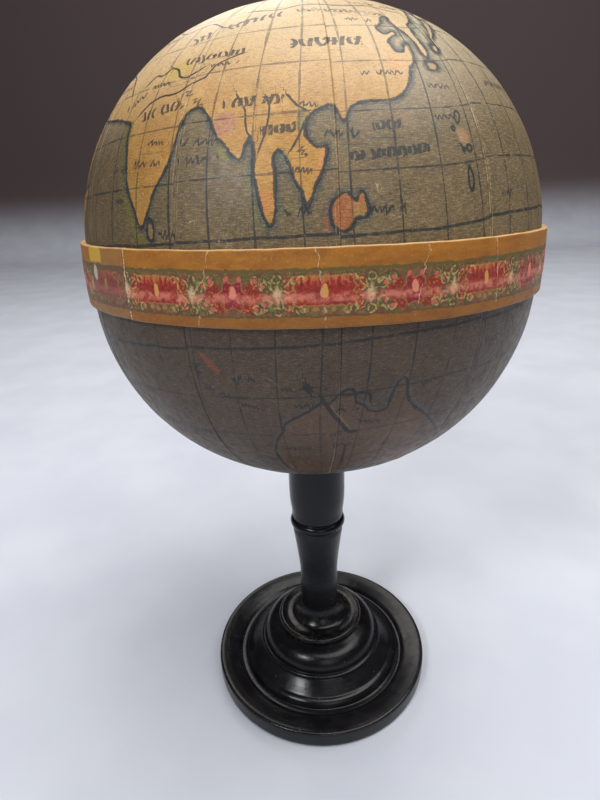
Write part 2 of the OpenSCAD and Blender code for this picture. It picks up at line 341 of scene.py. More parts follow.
# Brush strokes along coasts, on the squares: line, width in mm, colour, opacity
BRUSHES = [
    ("-4.8,2.2 -4.75,1.9 -4.65,1.5 -4.5,1.1 -4.3,0.8", 2.4, (104, 100, 46), 0.8),
    ("-4.3,0.8 -4.15,0.5 -3.95,0.2 -3.8,0 -3.7,-0.3", 1.7, (112, 108, 44), 0.85),
    ("-3.6,0.15 -3.65,0.02 -3.7,-0.1", 1.8, (112, 106, 48), 0.8),
    ("-1.1,1.2 -1.05,0.9 -1,0.7 -0.9,0.4 -0.8,0.2", 1.4, (106, 108, 60), 0.8),
    ("-0.45,0.4 -0.3,0.45 -0.1,0.5", 2.0, (104, 102, 64), 0.55),
    ("-1.75,1.5 -1.6,1.35", 1.3, (134, 132, 56), 0.8),
    ("0,1.75 0,1.9 0.05,2", 1.3, (110, 116, 78), 0.7),
    ("-0.45,1.35 -0.35,1.2", 1.6, (84, 104, 84), 0.8),
    ("3.4,3 3.8,2.75 4.3,2.7", 1.4, (132, 118, 92), 0.5),
    ("3.7,3.8 3.9,3.95 4.1,4.2", 1.6, (132, 146, 126), 0.75),
    ("0,-1.05 0.3,-1.4 0.7,-1.9", 0.9, (134, 116, 58), 0.7),
]
# Heavy pen strokes on the squares: line, half width in mm
NEAR_STROKES = [
    ("3.62,1.85 3.72,1.9 3.78,1.8 3.65,1.65 3.6,1.75 3.62,1.85", 0.12),
    ("3.42,1.6 3.47,1.64 3.52,1.58 3.46,1.53 3.42,1.6", 0.12),
    ("3.6,1.28 3.7,1.2 3.8,1.28 3.9,1.2 3.8,1.14 3.7,1.2 3.62,1.15 3.6,1.28", 0.12),
    ("3.72,0.9 3.78,0.75 3.76,0.55 3.68,0.5 3.63,0.65 3.66,0.85 3.72,0.9", 0.14),
    ("0,-1.05 0.1,-1.2 0.35,-1.55 0.55,-1.8 0.72,-2 0.9,-2", 0.34),
    ("-0.32,-0.78 -0.3,-0.84", 0.55),
    ("-0.42,-0.82 -0.2,-0.8", 0.16),
    ("0.4,-1 0.7,-1.02 0.9,-1 1.1,-1.05 1.15,-1.2", 0.2),
    ("-4.5,2.4 -4.2,2.6 -3.8,2.7 -3.3,2.7 -2.9,2.85 -2.5,2.95", 0.13),
    ("-3.9,3.4 -3.6,3.3 -3.4,3.1 -3.1,3.05 -2.7,3.2", 0.15),
    ("-3.9,3.4 -4.2,3.25 -4.5,3.3 -4.8,3.1", 0.13),
    ("-2.5,2.95 -2.3,3.2 -2,3.3 -1.6,3.4", 0.1),
    ("-1.5,2.45 -1.35,2.25 -1.25,2.1 -1.2,1.8 -1.05,1.6", 0.1),
    ("-0.8,2.35 -0.7,2.15 -0.75,1.8 -0.9,1.4", 0.1),
    ("-0.3,2.35 -0.1,2.15 0.1,2.05", 0.12),
    ("-0.25,1.35 -0.05,1.6 0.05,1.8", 0.1),
    ("-1.8,5 -0.8,4.9 0.2,5.1 1.5,4.9 2.6,5 3.8,4.7", 0.12),
    ("0.7,-2.5 0.7,-3.2 0.7,-4", 0.12),
    ("1.9,-2.6 1.9,-3.3 1.9,-3.8", 0.12),
]
# The same where the front doesn't show it, in degrees
FAR_STROKES = [
    ("62,50 70,47 80,48 88,44 95,46", 0.12),
    ("48,38 55,37 60,34 64,30", 0.12),
    ("-120,49 -105,49 -92,48.6 -80,44", 0.14),
    ("-115,32 -106,31 -98,27", 0.14),
    ("10,54 13,50 9,47 7,44", 0.12),
    ("22,55 24,50 29,46", 0.12),
    ("10,33 12,24 20,20 24,12 16,4 10,4", 0.12),
    ("34,20 34,12 30,4 32,-8 26,-16 22,-28", 0.12),
    ("-60,6 -66,0 -70,-8 -62,-18 -56,-28", 0.14),
]
# Pen scrawls that stand where the original has place names. They are wavy lines and can't be
# read. Each is column, row, length and height in mm, slope in degrees, half width of the pen.
NEAR_SCRAWLS = [
    (-3.5, 2.4, 10, 2.1, 9, 0.15), (-1, 2.3, 10, 1.9, 1, 0.17), (-0.5, 1.75, 5, 1.8, 4, 0.2),
    (0.6, 3.5, 11, 2.4, 2, 0.2), (1.5, 4.6, 13, 1.6, -6, 0.12), (-2.3, 4.4, 14, 2.6, 22, 0.15),
    (-2.5, 3.45, 10, 2, 1, 0.14), (1.85, 1.7, 4.5, 1.7, 8, 0.18), (1.85, 1.25, 12, 1.7, 5, 0.2),
    (-3.45, 1.75, 4.5, 0.9, -5, 0.1), (-2.3, 1.65, 6.5, 1.2, 0, 0.1), (-3.75, 1.4, 6, 1, -2, 0.11),
    (-2.3, 1.35, 7, 1.3, 0, 0.13), (-4.7, 1.35, 3.5, 0.8, -7, 0.1), (-2.95, 0.15, 4.5, 1.1, -5, 0.13),
    (0.1, 2.15, 3.5, 0.9, -10, 0.1), (0.85, 1.6, 5, 1.2, -2, 0.15), (3.35, 1.8, 5, 1.1, 6, 0.12),
    (-0.1, 0.4, 4, 1.2, 2, 0.15), (1.65, 0.35, 6, 1.1, 0, 0.16), (2, 2.7, 6.5, 1, 2, 0.1),
    (1.85, 4.2, 4, 0.9, -5, 0.09), (3.45, 2.4, 5, 1.1, 0, 0.1), (-2.65, 2.5, 5, 0.9, -44, 0.1),
    (-2.05, 3.2, 4.5, 0.8, 0, 0.09), (-4.2, 3, 6.5, 0.9, 2, 0.11), (0.1, 1.25, 3.5, 0.9, -57, 0.12),
    (0, 1.05, 3, 0.8, -8, 0.13), (4.9, 0.35, 3.5, 0.8, 6, 0.11), (-4.6, 0.8, 2.5, 0.6, 0, 0.12),
    (-4.9, 2.75, 5, 1.2, 32, 0.12), (3.2, 5.1, 8, 1.5, -10, 0.1),
    (-2.95, -0.55, 4.5, 1.2, -75, 0.16), (-2.5, -0.9, 5.5, 1, -24, 0.11), (-1.7, -1.2, 4, 1, -11, 0.12),
    (-0.5, -1.2, 4.5, 1.2, -1, 0.11), (0.6, -1.35, 4, 1.4, 5, 0.12), (2.6, -1, 3, 1, 15, 0.13),
    (0.25, -2.1, 3.5, 1.5, 4, 0.11), (-0.7, -2.5, 5.5, 1.6, -6, 0.12), (0.5, -2.45, 4, 1.5, 3, 0.12),
    (-1.8, -0.6, 4, 1.2, 8, 0.13), (1.25, -1.75, 5, 1.2, -8, 0.11), (-0.9, -0.8, 3, 0.9, 0, 0.1),
]
FAR_SCRAWLS = [
    (20, 48, 9, 1.8, 4, 0.15), (5, 47, 4, 0.9, 0, 0.1), (38, 55, 11, 1.9, 3, 0.15),
    (22, 22, 12, 2, 2, 0.17), (15, 10, 7, 1.2, 0, 0.12), (26, -8, 9, 1.6, -4, 0.15),
    (24, -26, 6, 1.1, 2, 0.12), (45, 24, 7, 1.3, 6, 0.12), (55, 33, 7, 1.2, 0, 0.12),
    (60, 46, 9, 1.6, 0, 0.14), (-100, 40, 13, 2.2, 2, 0.18), (-98, 55, 9, 1.5, 0, 0.13),
    (-102, 25, 6, 1.2, -30, 0.13), (-60, -8, 9, 1.6, 0, 0.16), (-66, -28, 7, 1.2, 60, 0.13),
    (-42, 72, 5, 1.2, 0, 0.12), (-35, 34, 14, 1.9, 0, 0.16), (-30, -18, 13, 1.8, 4, 0.16),
    (-150, 20, 16, 2, 0, 0.17), (-140, -20, 16, 2, 0, 0.17), (75, -20, 13, 1.8, -3, 0.16),
    (165, 25, 12, 1.6, 3, 0.15), (172, -24, 6, 1, 0, 0.12), (150, -5, 5, 1, -10, 0.12)
]


def smooth_line(points, closed, steps=4):
    """Catmull-Rom curve through the points."""
    n = len(points)
    if closed:
        p = np.concatenate([points[-1:], points, points[:2]])
        spans = n
    else:
        p = np.concatenate([2 * points[:1] - points[1:2], points, 2 * points[-1:] - points[-2:-1]])
        spans = n - 1
    out = []
    for i in range(spans):
        a, b, c, d = p[i], p[i + 1], p[i + 2], p[i + 3]
        for k in range(steps):
            t = k / steps
            q = 2 * b + (c - a) * t + (2 * a - 5 * b + 4 * c - d) * t**2 + (3 * b - a - 3 * c + d) * t**3
            out.append(q / 2)
    if not closed:
        out.append(points[-1])
    return np.array(out)


class Sheet:
    """Points of the paper in map terms, and distances on it in millimetres."""

    def __init__(self, half, lon, lat):
        self.half, self.lon, self.lat = half, lon.ravel(), lat.ravel()
        self.scale = np.cos(np.radians(self.lat)) * DEG_MM
        self.low, self.high = self.lon.min(), self.lon.max()

    def near(self, line, pad=9):
        """The line's segments around this sheet, as start and end points."""
        a, b = line[:-1], line[1:]
        keep = (np.maximum(a[:, 0], b[:, 0]) > self.low - pad) & (
            np.minimum(a[:, 0], b[:, 0]) < self.high + pad
        )
        return a[keep], b[keep]

    def to_segments(self, a, b):
        """Nearest distance to the segments, and the signed side of the nearest one."""
        ex = (b[:, 0] - a[:, 0])[None, :] * self.scale[:, None]
        ey = np.broadcast_to((b[:, 1] - a[:, 1])[None, :] * DEG_MM, ex.shape)
        px = (self.lon[:, None] - a[None, :, 0]) * self.scale[:, None]
        py = (self.lat[:, None] - a[None, :, 1]) * DEG_MM
        t = np.clip((px * ex + py * ey) / (ex**2 + ey**2 + 1e-12), 0, 1)
        gap = np.hypot(px - t * ex, py - t * ey)
        best = gap.argmin(1)
        rows = np.arange(len(gap))
        cross = (ex * py - ey * px)[rows, best]
        return gap[rows, best], np.where(cross < 0, -1.0, 1.0)

    def inside(self, shape):
        """Signed distance to a closed shape, positive inside."""
        best = np.full(len(self.lon), -FAR)
        for shift in (-360, 0, 360):
            line = placed(shape, self.half, shift)
            a, b = self.near(np.concatenate([line, line[:1]]))
            if not len(a):
                continue
            x, y = self.lon[:, None], self.lat[:, None]
            spans = (a[None, :, 0] > x) != (b[None, :, 0] > x)
            run = np.where(b[:, 0] == a[:, 0], 1e-9, b[:, 0] - a[:, 0])
            height = a[None, :, 1] + (x - a[None, :, 0]) / run[None, :] * (b[:, 1] - a[:, 1])[None, :]
            odd = (spans & (height > y)).sum(1) % 2 == 1
            gap, _ = self.to_segments(a, b)
            best = np.maximum(best, np.where(odd, gap, -gap))
        return np.clip(best, -FAR, FAR)

    def along(self, points):
        """Distance to an open line and its signed side."""
        best, side = np.full(len(self.lon), FAR), np.ones(len(self.lon))
        for shift in (-360, 0, 360):
            a, b = self.near(placed(points, self.half, shift))
            if len(a):
                gap, sign = self.to_segments(a, b)
                side = np.where(gap < best, sign, side)
                best = np.minimum(best, gap)
        return best, side


LAND_CURVES = [smooth_line(s, True) for s in LANDS]
SEA_CURVES = [smooth_line(s, True) for s in SEAS_INSIDE]
WASH_CURVES = [(smooth_line(squares(t), True), c, a, f) for t, c, a, f in WASHES]
BRUSH_CURVES = [(smooth_line(squares(t), False), w, c, a) for t, w, c, a in BRUSHES]
STROKE_CURVES = [(smooth_line(squares(t), False), w) for t, w in NEAR_STROKES]
STROKE_CURVES += [(smooth_line(outline(t), False), w) for t, w in FAR_STROKES]
SCRAWLS = [tuple(squares(f"{c},{r}")[0]) + tuple(rest) for c, r, *rest in NEAR_SCRAWLS] + FAR_SCRAWLS


def linear(rgb):
    """Linear colour from 0-255 values."""
    c = np.array(rgb, float) / 255
    return np.where(c <= 0.04045, c / 12.92, ((c + 0.055) / 1.055) ** 2.4)


def south_of_equator(sheet):
    """Distance below the south half's equator line in mm. Nothing is drawn above it."""
    line = -PRINTING[-1][1] - SOUTH_CLEAR + climb(SOUTH, sheet.lon)
    return (line - sheet.lat) * DEG_MM


def coast_field(sheet):
    """Signed distance to the nearest coast in mm, positive on land."""
    land = np.full(len(sheet.lon), -FAR)
    for curve in LAND_CURVES:
        land = np.maximum(land, sheet.inside(curve))
    for curve in SEA_CURVES:
        land = np.minimum(land, -sheet.inside(curve))
    antarctic = -71 + 3 * np.sin(np.radians(3 * sheet.lon)) + 1.5 * np.sin(np.radians(7 * sheet.lon))
    if sheet.half.side < 0:
        edge = np.interp(antarctic, table_lat, drawn_latitudes(sheet.half))
        land = np.maximum(land, (edge - sheet.lat) * DEG_MM)
        land = np.minimum(land, south_of_equator(sheet))
    return np.clip(land, -FAR, FAR)


BRUSH_SOFT = 0.5


def wash_field(sheet):
    """Colour and opacity of the watercolour washes."""
    out = np.zeros((len(sheet.lon), 4))

    def lay(colour, cover):
        share = cover[:, None]
        out[:, :3] = np.where(share > 0.001, out[:, :3] * (1 - share) + linear(colour) * share, out[:, :3])
        out[:, 3] = 1 - (1 - out[:, 3]) * (1 - cover)

    for curve, colour, alpha, soft in WASH_CURVES:
        if (curve[:, 1].mean() > 0) != (sheet.half.side > 0):
            continue
        lay(colour, alpha * np.clip(sheet.inside(curve) / soft + 0.5, 0, 1))
    for line, width, colour, alpha in BRUSH_CURVES:
        if (line[:, 1].mean() > 0) != (sheet.half.side > 0):
            continue
        gap, _ = sheet.along(line)
        lay(colour, alpha * np.clip((width / 2 - gap) / BRUSH_SOFT + 0.5, 0, 1))
    out[:, :3] /= np.maximum(out[:, 3:], 1e-3)
    if sheet.half.side < 0:
        out[:, 3] *= np.clip(south_of_equator(sheet) / 0.4, 0, 0.75)
    return out


def stroke_field(sheet):
    """Signed distance to the nearest heavy stroke and that stroke's half width, in mm."""
    out = np.tile([FAR, 0.1, 0.0], (len(sheet.lon), 1))
    nearest = np.full(len(sheet.lon), FAR)
    for line, width in STROKE_CURVES:
        gap, side = sheet.along(line)
        hit = gap < nearest
        out[hit, 0] = (gap * side)[hit]
        out[hit, 1] = width
        nearest = np.minimum(nearest, gap)
    return out


# In mm: scrawls read their pattern this far apart, and reach this far past their size
SCRAWL_APART = 17.3
SCRAWL_MARGIN = 1.2


def scrawl_field(sheet):
    """Local coordinates of the nearest scrawl: along, across, height; then its end and pen."""
    place = np.tile([0.0, FAR, 1.0], (len(sheet.lon), 1))
    pen = np.tile([-FAR, 0.1, 0.0], (len(sheet.lon), 1))
    for i, (lon, lat, length, height, slope, width) in enumerate(SCRAWLS):
        centre = placed(np.array([[lon, lat]], float), sheet.half)[0]
        if abs(centre[1]) < 1 or (lat < 0) != (sheet.half.side < 0):
            continue
        turn = math.radians(slope)
        off = (sheet.lon - centre[0] + 180) % 360 - 180
        dx, dy = off * sheet.scale, (sheet.lat - centre[1]) * DEG_MM
        u = dx * math.cos(turn) + dy * math.sin(turn)
        v = dy * math.cos(turn) - dx * math.sin(turn)
        hit = (np.abs(u) < length / 2 + SCRAWL_MARGIN) & (np.abs(v) < height / 2 + SCRAWL_MARGIN)
        place[hit] = np.stack([u + SCRAWL_APART * i, v, np.full(len(u), height)], -1)[hit]
        pen[hit] = np.stack(
            [length / 2 - np.abs(u), np.full(len(u), width), np.full(len(u), i / 7.0)], -1
        )[hit]
    return place, pen


def map_layers(half, lon, lat, gore):
    """Every drawn layer of the map at these points."""
    sheet = Sheet(half, lon, lat)
    grid_lat = np.interp(sheet.lat - climb(half, sheet.lon), drawn_latitudes(half), table_lat)
    grid_lat += 0.3 * math.sin(2.1 * gore + half.side)
    grid_lon = sheet.lon - spread(sheet.lon, sheet.lat) - PRINTING[half.side][0]
    grid_lon += 0.4 * np.sin(sheet.lat / 9 + gore)
    place, pen = scrawl_field(sheet)
    low = lon.min()
    from_west = (sheet.lon - low) * sheet.scale
    from_east = (low + GORE_ARC - sheet.lon) * sheet.scale
    edge = np.stack([from_west, from_east, np.full(len(from_west), float(gore))], -1)
    return [
        ("coast", "FLOAT", coast_field(sheet)),
        ("wash", "FLOAT_COLOR", wash_field(sheet)),
        ("stroke", "FLOAT_VECTOR", stroke_field(sheet)),
        ("scrawl", "FLOAT_VECTOR", place),
        ("pen", "FLOAT_VECTOR", pen),
        ("grid", "FLOAT_VECTOR", np.stack([grid_lon, grid_lat, sheet.scale], -1)),
        ("edge", "FLOAT_VECTOR", edge),
    ]


# ---- Paper of the globe -------------------------------------------------------------------

CELL = 0.42 * MM
SKIRT = PAPER * 0.9
# The round papers at the poles lie over the gores' points, round the bush
CAP_LIFT = 0.1 * MM
CAP_OVERLAP = 0.35 * MM
BUSH_CLEAR = 0.15 * MM
CAP_SEGMENTS = 144
CAP_RINGS = 14


def lumps(p):
    """Slow unevenness of the papier-mache under the paper, in metres."""
    x, y, z = (p / MM).T
    slow = np.sin(0.13 * x + 1.1) * np.sin(0.11 * y - 0.4) * np.sin(0.12 * z + 0.6)
    quick = np.sin(0.31 * x + 0.27 * z) * np.sin(0.29 * y - 0.22 * z + 1.7)
    return (0.11 * slow + 0.035 * quick) * MM


def gore_piece(half, k):
    """One printed lune with its paper edges turned down to the shell."""
    cols = 2 + round(math.radians(GORE_ARC) * GLOBE_R / CELL)
    polar_low = half.polar_angle(CAP_R)
    rows = 2 + round((half.seam_angle - polar_low) * half.ball / CELL)
    west = (FIRST_GORE_LON + (k - 1) * GORE_ARC + 180) % 360 - 180
    lon, polar = np.meshgrid(
        np.linspace(west, west + GORE_ARC, cols), np.linspace(polar_low, half.seam_angle, rows)
    )
    flat = half.points(lon, polar, 0.0)
    low = lumps(flat.reshape(-1, 3)).reshape(lon.shape)
    ring = CREST_R + half.ball * np.sin(polar)
    east_mm = (west + GORE_ARC - lon) * np.radians(1) * ring / MM
    west_mm = (lon - west) * np.radians(1) * ring / MM
    ripple = 0.03 * MM * np.sin(polar * 23 + k)
    lap = (0.03 * np.exp(-east_mm / 0.7) - 0.02 * np.exp(-west_mm / 0.6)) * MM
    top = half.points(lon, polar, low + lap + ripple * np.exp(-east_mm / 1.5))
    layers = map_layers(half, lon, half.latitude(polar), k)
    loop = np.concatenate(
        [np.arange(cols), np.arange(1, rows) * cols + cols - 1,
         (rows - 1) * cols + np.arange(cols - 2, -1, -1), np.arange(rows - 2, 0, -1) * cols]
    )
    deep = half.points(lon, polar, np.full(lon.shape, -SKIRT)).reshape(-1, 3)[loop]
    verts = np.concatenate([top.reshape(-1, 3), deep])
    start, n = rows * cols, len(loop)
    around = np.arange(n)
    skirt = np.stack([loop, start + around, start + (around + 1) % n, np.roll(loop, -1)], -1)
    skirt = skirt[:, ::-half.side]
    faces = np.concatenate([grid_faces(rows, cols, flip=half.side > 0), skirt])
    layers = [(a, kind, np.concatenate([v, v[loop]])) for a, kind, v in layers]
    return make_mesh(f"map_{half.label}_{k:02d}", verts, faces, layers)


def cap_piece(half):
    """The round paper at a pole, lying over the gores' points."""
    segments, rows = CAP_SEGMENTS, CAP_RINGS
    inner, outer = half.polar_angle(HOLE_R + BUSH_CLEAR), half.polar_angle(CAP_R + CAP_OVERLAP)
    polar = np.linspace(inner, outer, rows)
    angle = np.arange(segments) * 360 / segments - 180
    lon, pol = np.meshgrid(angle, polar)
    cut = 1 + 0.008 * np.sin(np.radians(lon * 5)) + 0.005 * np.sin(np.radians(lon * 13 + 40))
    pol = pol * np.where(np.arange(rows)[:, None] == rows - 1, cut, 1)
    flat = half.points(lon, pol, 0.0)
    low = lumps(flat.reshape(-1, 3)).reshape(lon.shape)
    top = half.points(lon, pol, low + CAP_LIFT)
    rim = half.points(lon[-1:], pol[-1:], np.full((1, segments), -CAP_LIFT))
    verts = np.concatenate([top.reshape(-1, 3), rim.reshape(-1, 3)])
    faces = grid_faces(rows + 1, segments, closed=True, flip=half.side > 0)
    lat = half.latitude(pol).ravel()
    lat = np.concatenate([lat, lat[-segments:]])
    n = len(lat)
    land = np.full(n, FAR if half.side < 0 else -FAR)
    nothing = np.tile([FAR, 0.1, 0.0], (n, 1))
    layers = [
        ("coast", "FLOAT", land),
        ("wash", "FLOAT_COLOR", np.zeros((n, 4))),
        ("stroke", "FLOAT_VECTOR", nothing),
        ("scrawl", "FLOAT_VECTOR", np.tile([0.0, FAR, 1.0], (n, 1))),
        ("pen", "FLOAT_VECTOR", np.tile([-FAR, 0.1, 0.0], (n, 1))),
        ("grid", "FLOAT_VECTOR", np.stack([np.full(n, MERIDIAN_STEP / 2), lat, np.full(n, 0.1)], -1)),
        ("edge", "FLOAT_VECTOR", np.tile([FAR, FAR, 0.0], (n, 1))),
    ]
    return make_mesh(f"polar_paper_{half.label}", verts, faces, layers)


# ---- Equator band -------------------------------------------------------------------------

# The strip starts at this longitude. Its crease is just below the seam, and both its edges
# lie nearer to the ball. Its end is pasted over its beginning for some millimetres.
BAND_START_LON = 73.3
BAND_RIDGE = -0.9 * MM
BAND_CREST_R = BAND_R - 0.1 * MM
TOP_EDGE_R = BAND_R - 0.4 * MM
LOW_EDGE_R = BAND_R - 0.15 * MM
BAND_LAP = 8.0
END_STEP = 0.09 * MM
BAND_UNDER = 0.05 * MM
WELD_GAP = 1e-6
BAND_COLUMNS = 1100
BAND_ROWS = 40


def band_piece():
    """The patterned strip: creased outwards along the seam, its end pasted over its beginning."""
    half_mm = BAND_HALF / MM
    cols = BAND_COLUMNS
    u = np.linspace(0, 360, cols, endpoint=False)
    heights = np.linspace(1, -1, BAND_ROWS) * BAND_HALF
    upper = np.clip((heights - BAND_RIDGE) / (BAND_HALF - BAND_RIDGE), 0, 1)
    lower = np.clip((BAND_RIDGE - heights) / (BAND_HALF + BAND_RIDGE), 0, 1)
    profile = BAND_CREST_R - (BAND_CREST_R - TOP_EDGE_R) * upper**1.5
    profile -= (BAND_CREST_R - LOW_EDGE_R) * lower**1.4
    turn = np.radians(u)
    lap_mm = u / 360 * TAU * BAND_R / MM
    fade = np.where(lap_mm < BAND_LAP, 1 - np.clip((lap_mm - BAND_LAP + 3) / 3, 0, 1), 0.0)
    edge_wave = 0.07 * np.sin(turn * 9 + 1) + 0.04 * np.sin(turn * 31 + 2) + 0.03 * np.sin(turn * 67)
    shift = np.where(lap_mm < BAND_LAP * 3, 0.16 * (1 - lap_mm / (BAND_LAP * 3)), 0)
    radius = profile[:, None] + END_STEP * fade[None, :]
    radius = radius + 0.025 * MM * np.sin(turn * 23)[None, :] * np.sin(heights / MM * 1.3)[:, None]
    z = heights[:, None] * 1.01 + (0.28 + 0.5 * (edge_wave - shift))[None, :] * MM
    inner_top = np.full((1, cols), NORTH.radius_at(BAND_HALF) - BAND_UNDER)
    inner_low = np.full((1, cols), SOUTH.radius_at(BAND_HALF) - BAND_UNDER)
    radius = np.concatenate([inner_top, radius, inner_low])
    z = np.concatenate([z[:1], z, z[-1:]])
    across = np.concatenate([[half_mm + 1.0], heights / MM, [-half_mm - 1.0]])
    angle = np.radians(u + BAND_START_LON - FRONT_LON - 90)
    verts = np.stack([radius * np.cos(angle), radius * np.sin(angle), z + SEAM_Z], -1)
    # The cut end: a double column of points makes the step
    under = verts[:, :1].copy()
    reach = np.hypot(under[..., 0], under[..., 1])
    under[..., :2] *= ((reach - END_STEP) / reach)[..., None]
    grid = np.concatenate([verts, under, verts[:, :1]], 1)
    length = TAU * BAND_R / MM
    along = np.concatenate([lap_mm, [length, length + 0.1]])
    strip = np.stack(np.broadcast_arrays(along[None, :], across[:, None], 0.0), -1)
    faces = grid_faces(len(across), cols + 2, flip=True)
    obj = make_mesh(
        "equator_strip", grid.reshape(-1, 3), faces, [("strip", "FLOAT_VECTOR", strip.reshape(-1, 3))]
    )
    weld(obj)
    return obj


def weld(obj):
    """Joins points that lie on each other."""
    bm = bmesh.new()
    bm.from_mesh(obj.data)
    bmesh.ops.remove_doubles(bm, verts=bm.verts, dist=WELD_GAP)
    bm.to_mesh(obj.data)
    bm.free()


# ---- Turned stand -------------------------------------------------------------------------

TURNED_STEP = 0.35 * MM
TURNED_SEGMENTS = 224
OUT_OF_ROUND = 0.0015
# In mm: the pinhole that a section starts from, and the foot's height
PIN = 0.02
FOOT_TOP = 15.0
# The pillar's waist, where it widens upwards to the bead
WAIST_R, WAIST_Z = 5.5, 33.5
WAIST_FLARE, WAIST_RISE = 1.6, 14.1


def arc(cx, cz, r, start, end, steps=10):
    """Points on an arc in mm, angles in degrees."""
    return [
        (cx + r * math.cos(math.radians(start + (end - start) * i / steps)),
         cz + r * math.sin(math.radians(start + (end - start) * i / steps)))
        for i in range(steps + 1)
    ]


def foot_outline():
    """The foot's section from the middle of its underside, round the rim, to its top."""
    return (
        [(PIN, 0), (3.4, 0), (4.2, 0.02), (12, 0.05), (30.9, 0), (31.4, 0.25), (31.8, 0.9), (31.8, 4.5)]
        + [(31.65, 5.0), (31.1, 5.25), (28.8, 4.75), (25.8, 3.85), (25.0, 3.15)]
        + arc(21.2, 3.3, 2.2, 0, 80, 8)
        + [(18.2, 8.5), (18.3, 8.75), (18.2, 9.1), (17.7, 9.3)]
        + arc(12.2, 9.3, 5.2, 0, 78, 10)
        + [(11.4, FOOT_TOP), (4.0, FOOT_TOP), (PIN, FOOT_TOP)]
    )


def pillar_outline():
    """The pillar's section from its collar up to the recess at its top."""
    top = PILLAR_TOP / MM
    floor = top - 0.72
    neck = [i / 7 for i in range(1, 8)]
    return (
        [(PIN, FOOT_TOP + 0.02), (11.7, FOOT_TOP + 0.02)]
        + arc(11.7, 15.9, 0.9, -90, 115, 10)
        + [(10.0, 16.35), (8.2, 16.5), (7.52, 17.0)]
        + arc(11.25, 21.44, 5.8, 230, 180, 10)
        + [(WAIST_R, 29), (WAIST_R - 0.04, 31), (WAIST_R, WAIST_Z)]
        + [(WAIST_R + WAIST_FLARE * t**1.25, WAIST_Z + WAIST_RISE * t) for t in neck]
        + arc(6.32, 50.2, 1.42, -72, 72, 10)
        + [(7.22, 52.3), (7.2, 54.0), (7.5, 56.2), (7.66, 58.2), (7.7, 60.4), (7.7, top - 0.5)]
        + [(7.6, top - 0.12), (7.3, top), (5.3, top), (5.2, top - 0.1), (5.2, floor), (PIN, floor)]
    )


def turned(name, points):
    """A piece turned from (radius, z) points in mm, with its edge wear as an attribute.

    Known fault: its faces point inwards.
    """
    line = refine([(r * MM, z * MM) for r, z in points], TURNED_STEP)
    angle = np.arange(TURNED_SEGMENTS) * TAU / TURNED_SEGMENTS
    oval = 1 + OUT_OF_ROUND * np.sin(2 * angle + 0.7)
    x = line[:, :1] * np.cos(angle) * oval
    y = line[:, :1] * np.sin(angle) * oval
    z = np.repeat(line[:, 1:], TURNED_SEGMENTS, 1)
    faces = grid_faces(len(line), TURNED_SEGMENTS, closed=True, flip=True)
    wear = np.repeat(edge_share(line), TURNED_SEGMENTS)
    return make_mesh(name, np.stack([x, y, z], -1).reshape(-1, 3), faces, [("wear", "FLOAT", wear)])


# ---- Materials ----------------------------------------------------------------------------


class Value:
    """An output socket that is reckoned with like a number."""

    def __init__(self, graph, socket):
        self.graph, self.socket = graph, socket

    def __add__(self, other):
        return self.graph.math("ADD", self, other)

    def __sub__(self, other):
        return self.graph.math("SUBTRACT", self, other)

    def __rsub__(self, other):
        return self.graph.math("SUBTRACT", other, self)

    def __mul__(self, other):
        return self.graph.math("MULTIPLY", self, other)

    def __truediv__(self, other):
        return self.graph.math("DIVIDE", self, other)

    def __rtruediv__(self, other):
        return self.graph.math("DIVIDE", other, self)

    def __abs__(self):
        return self.graph.math("ABSOLUTE", self)


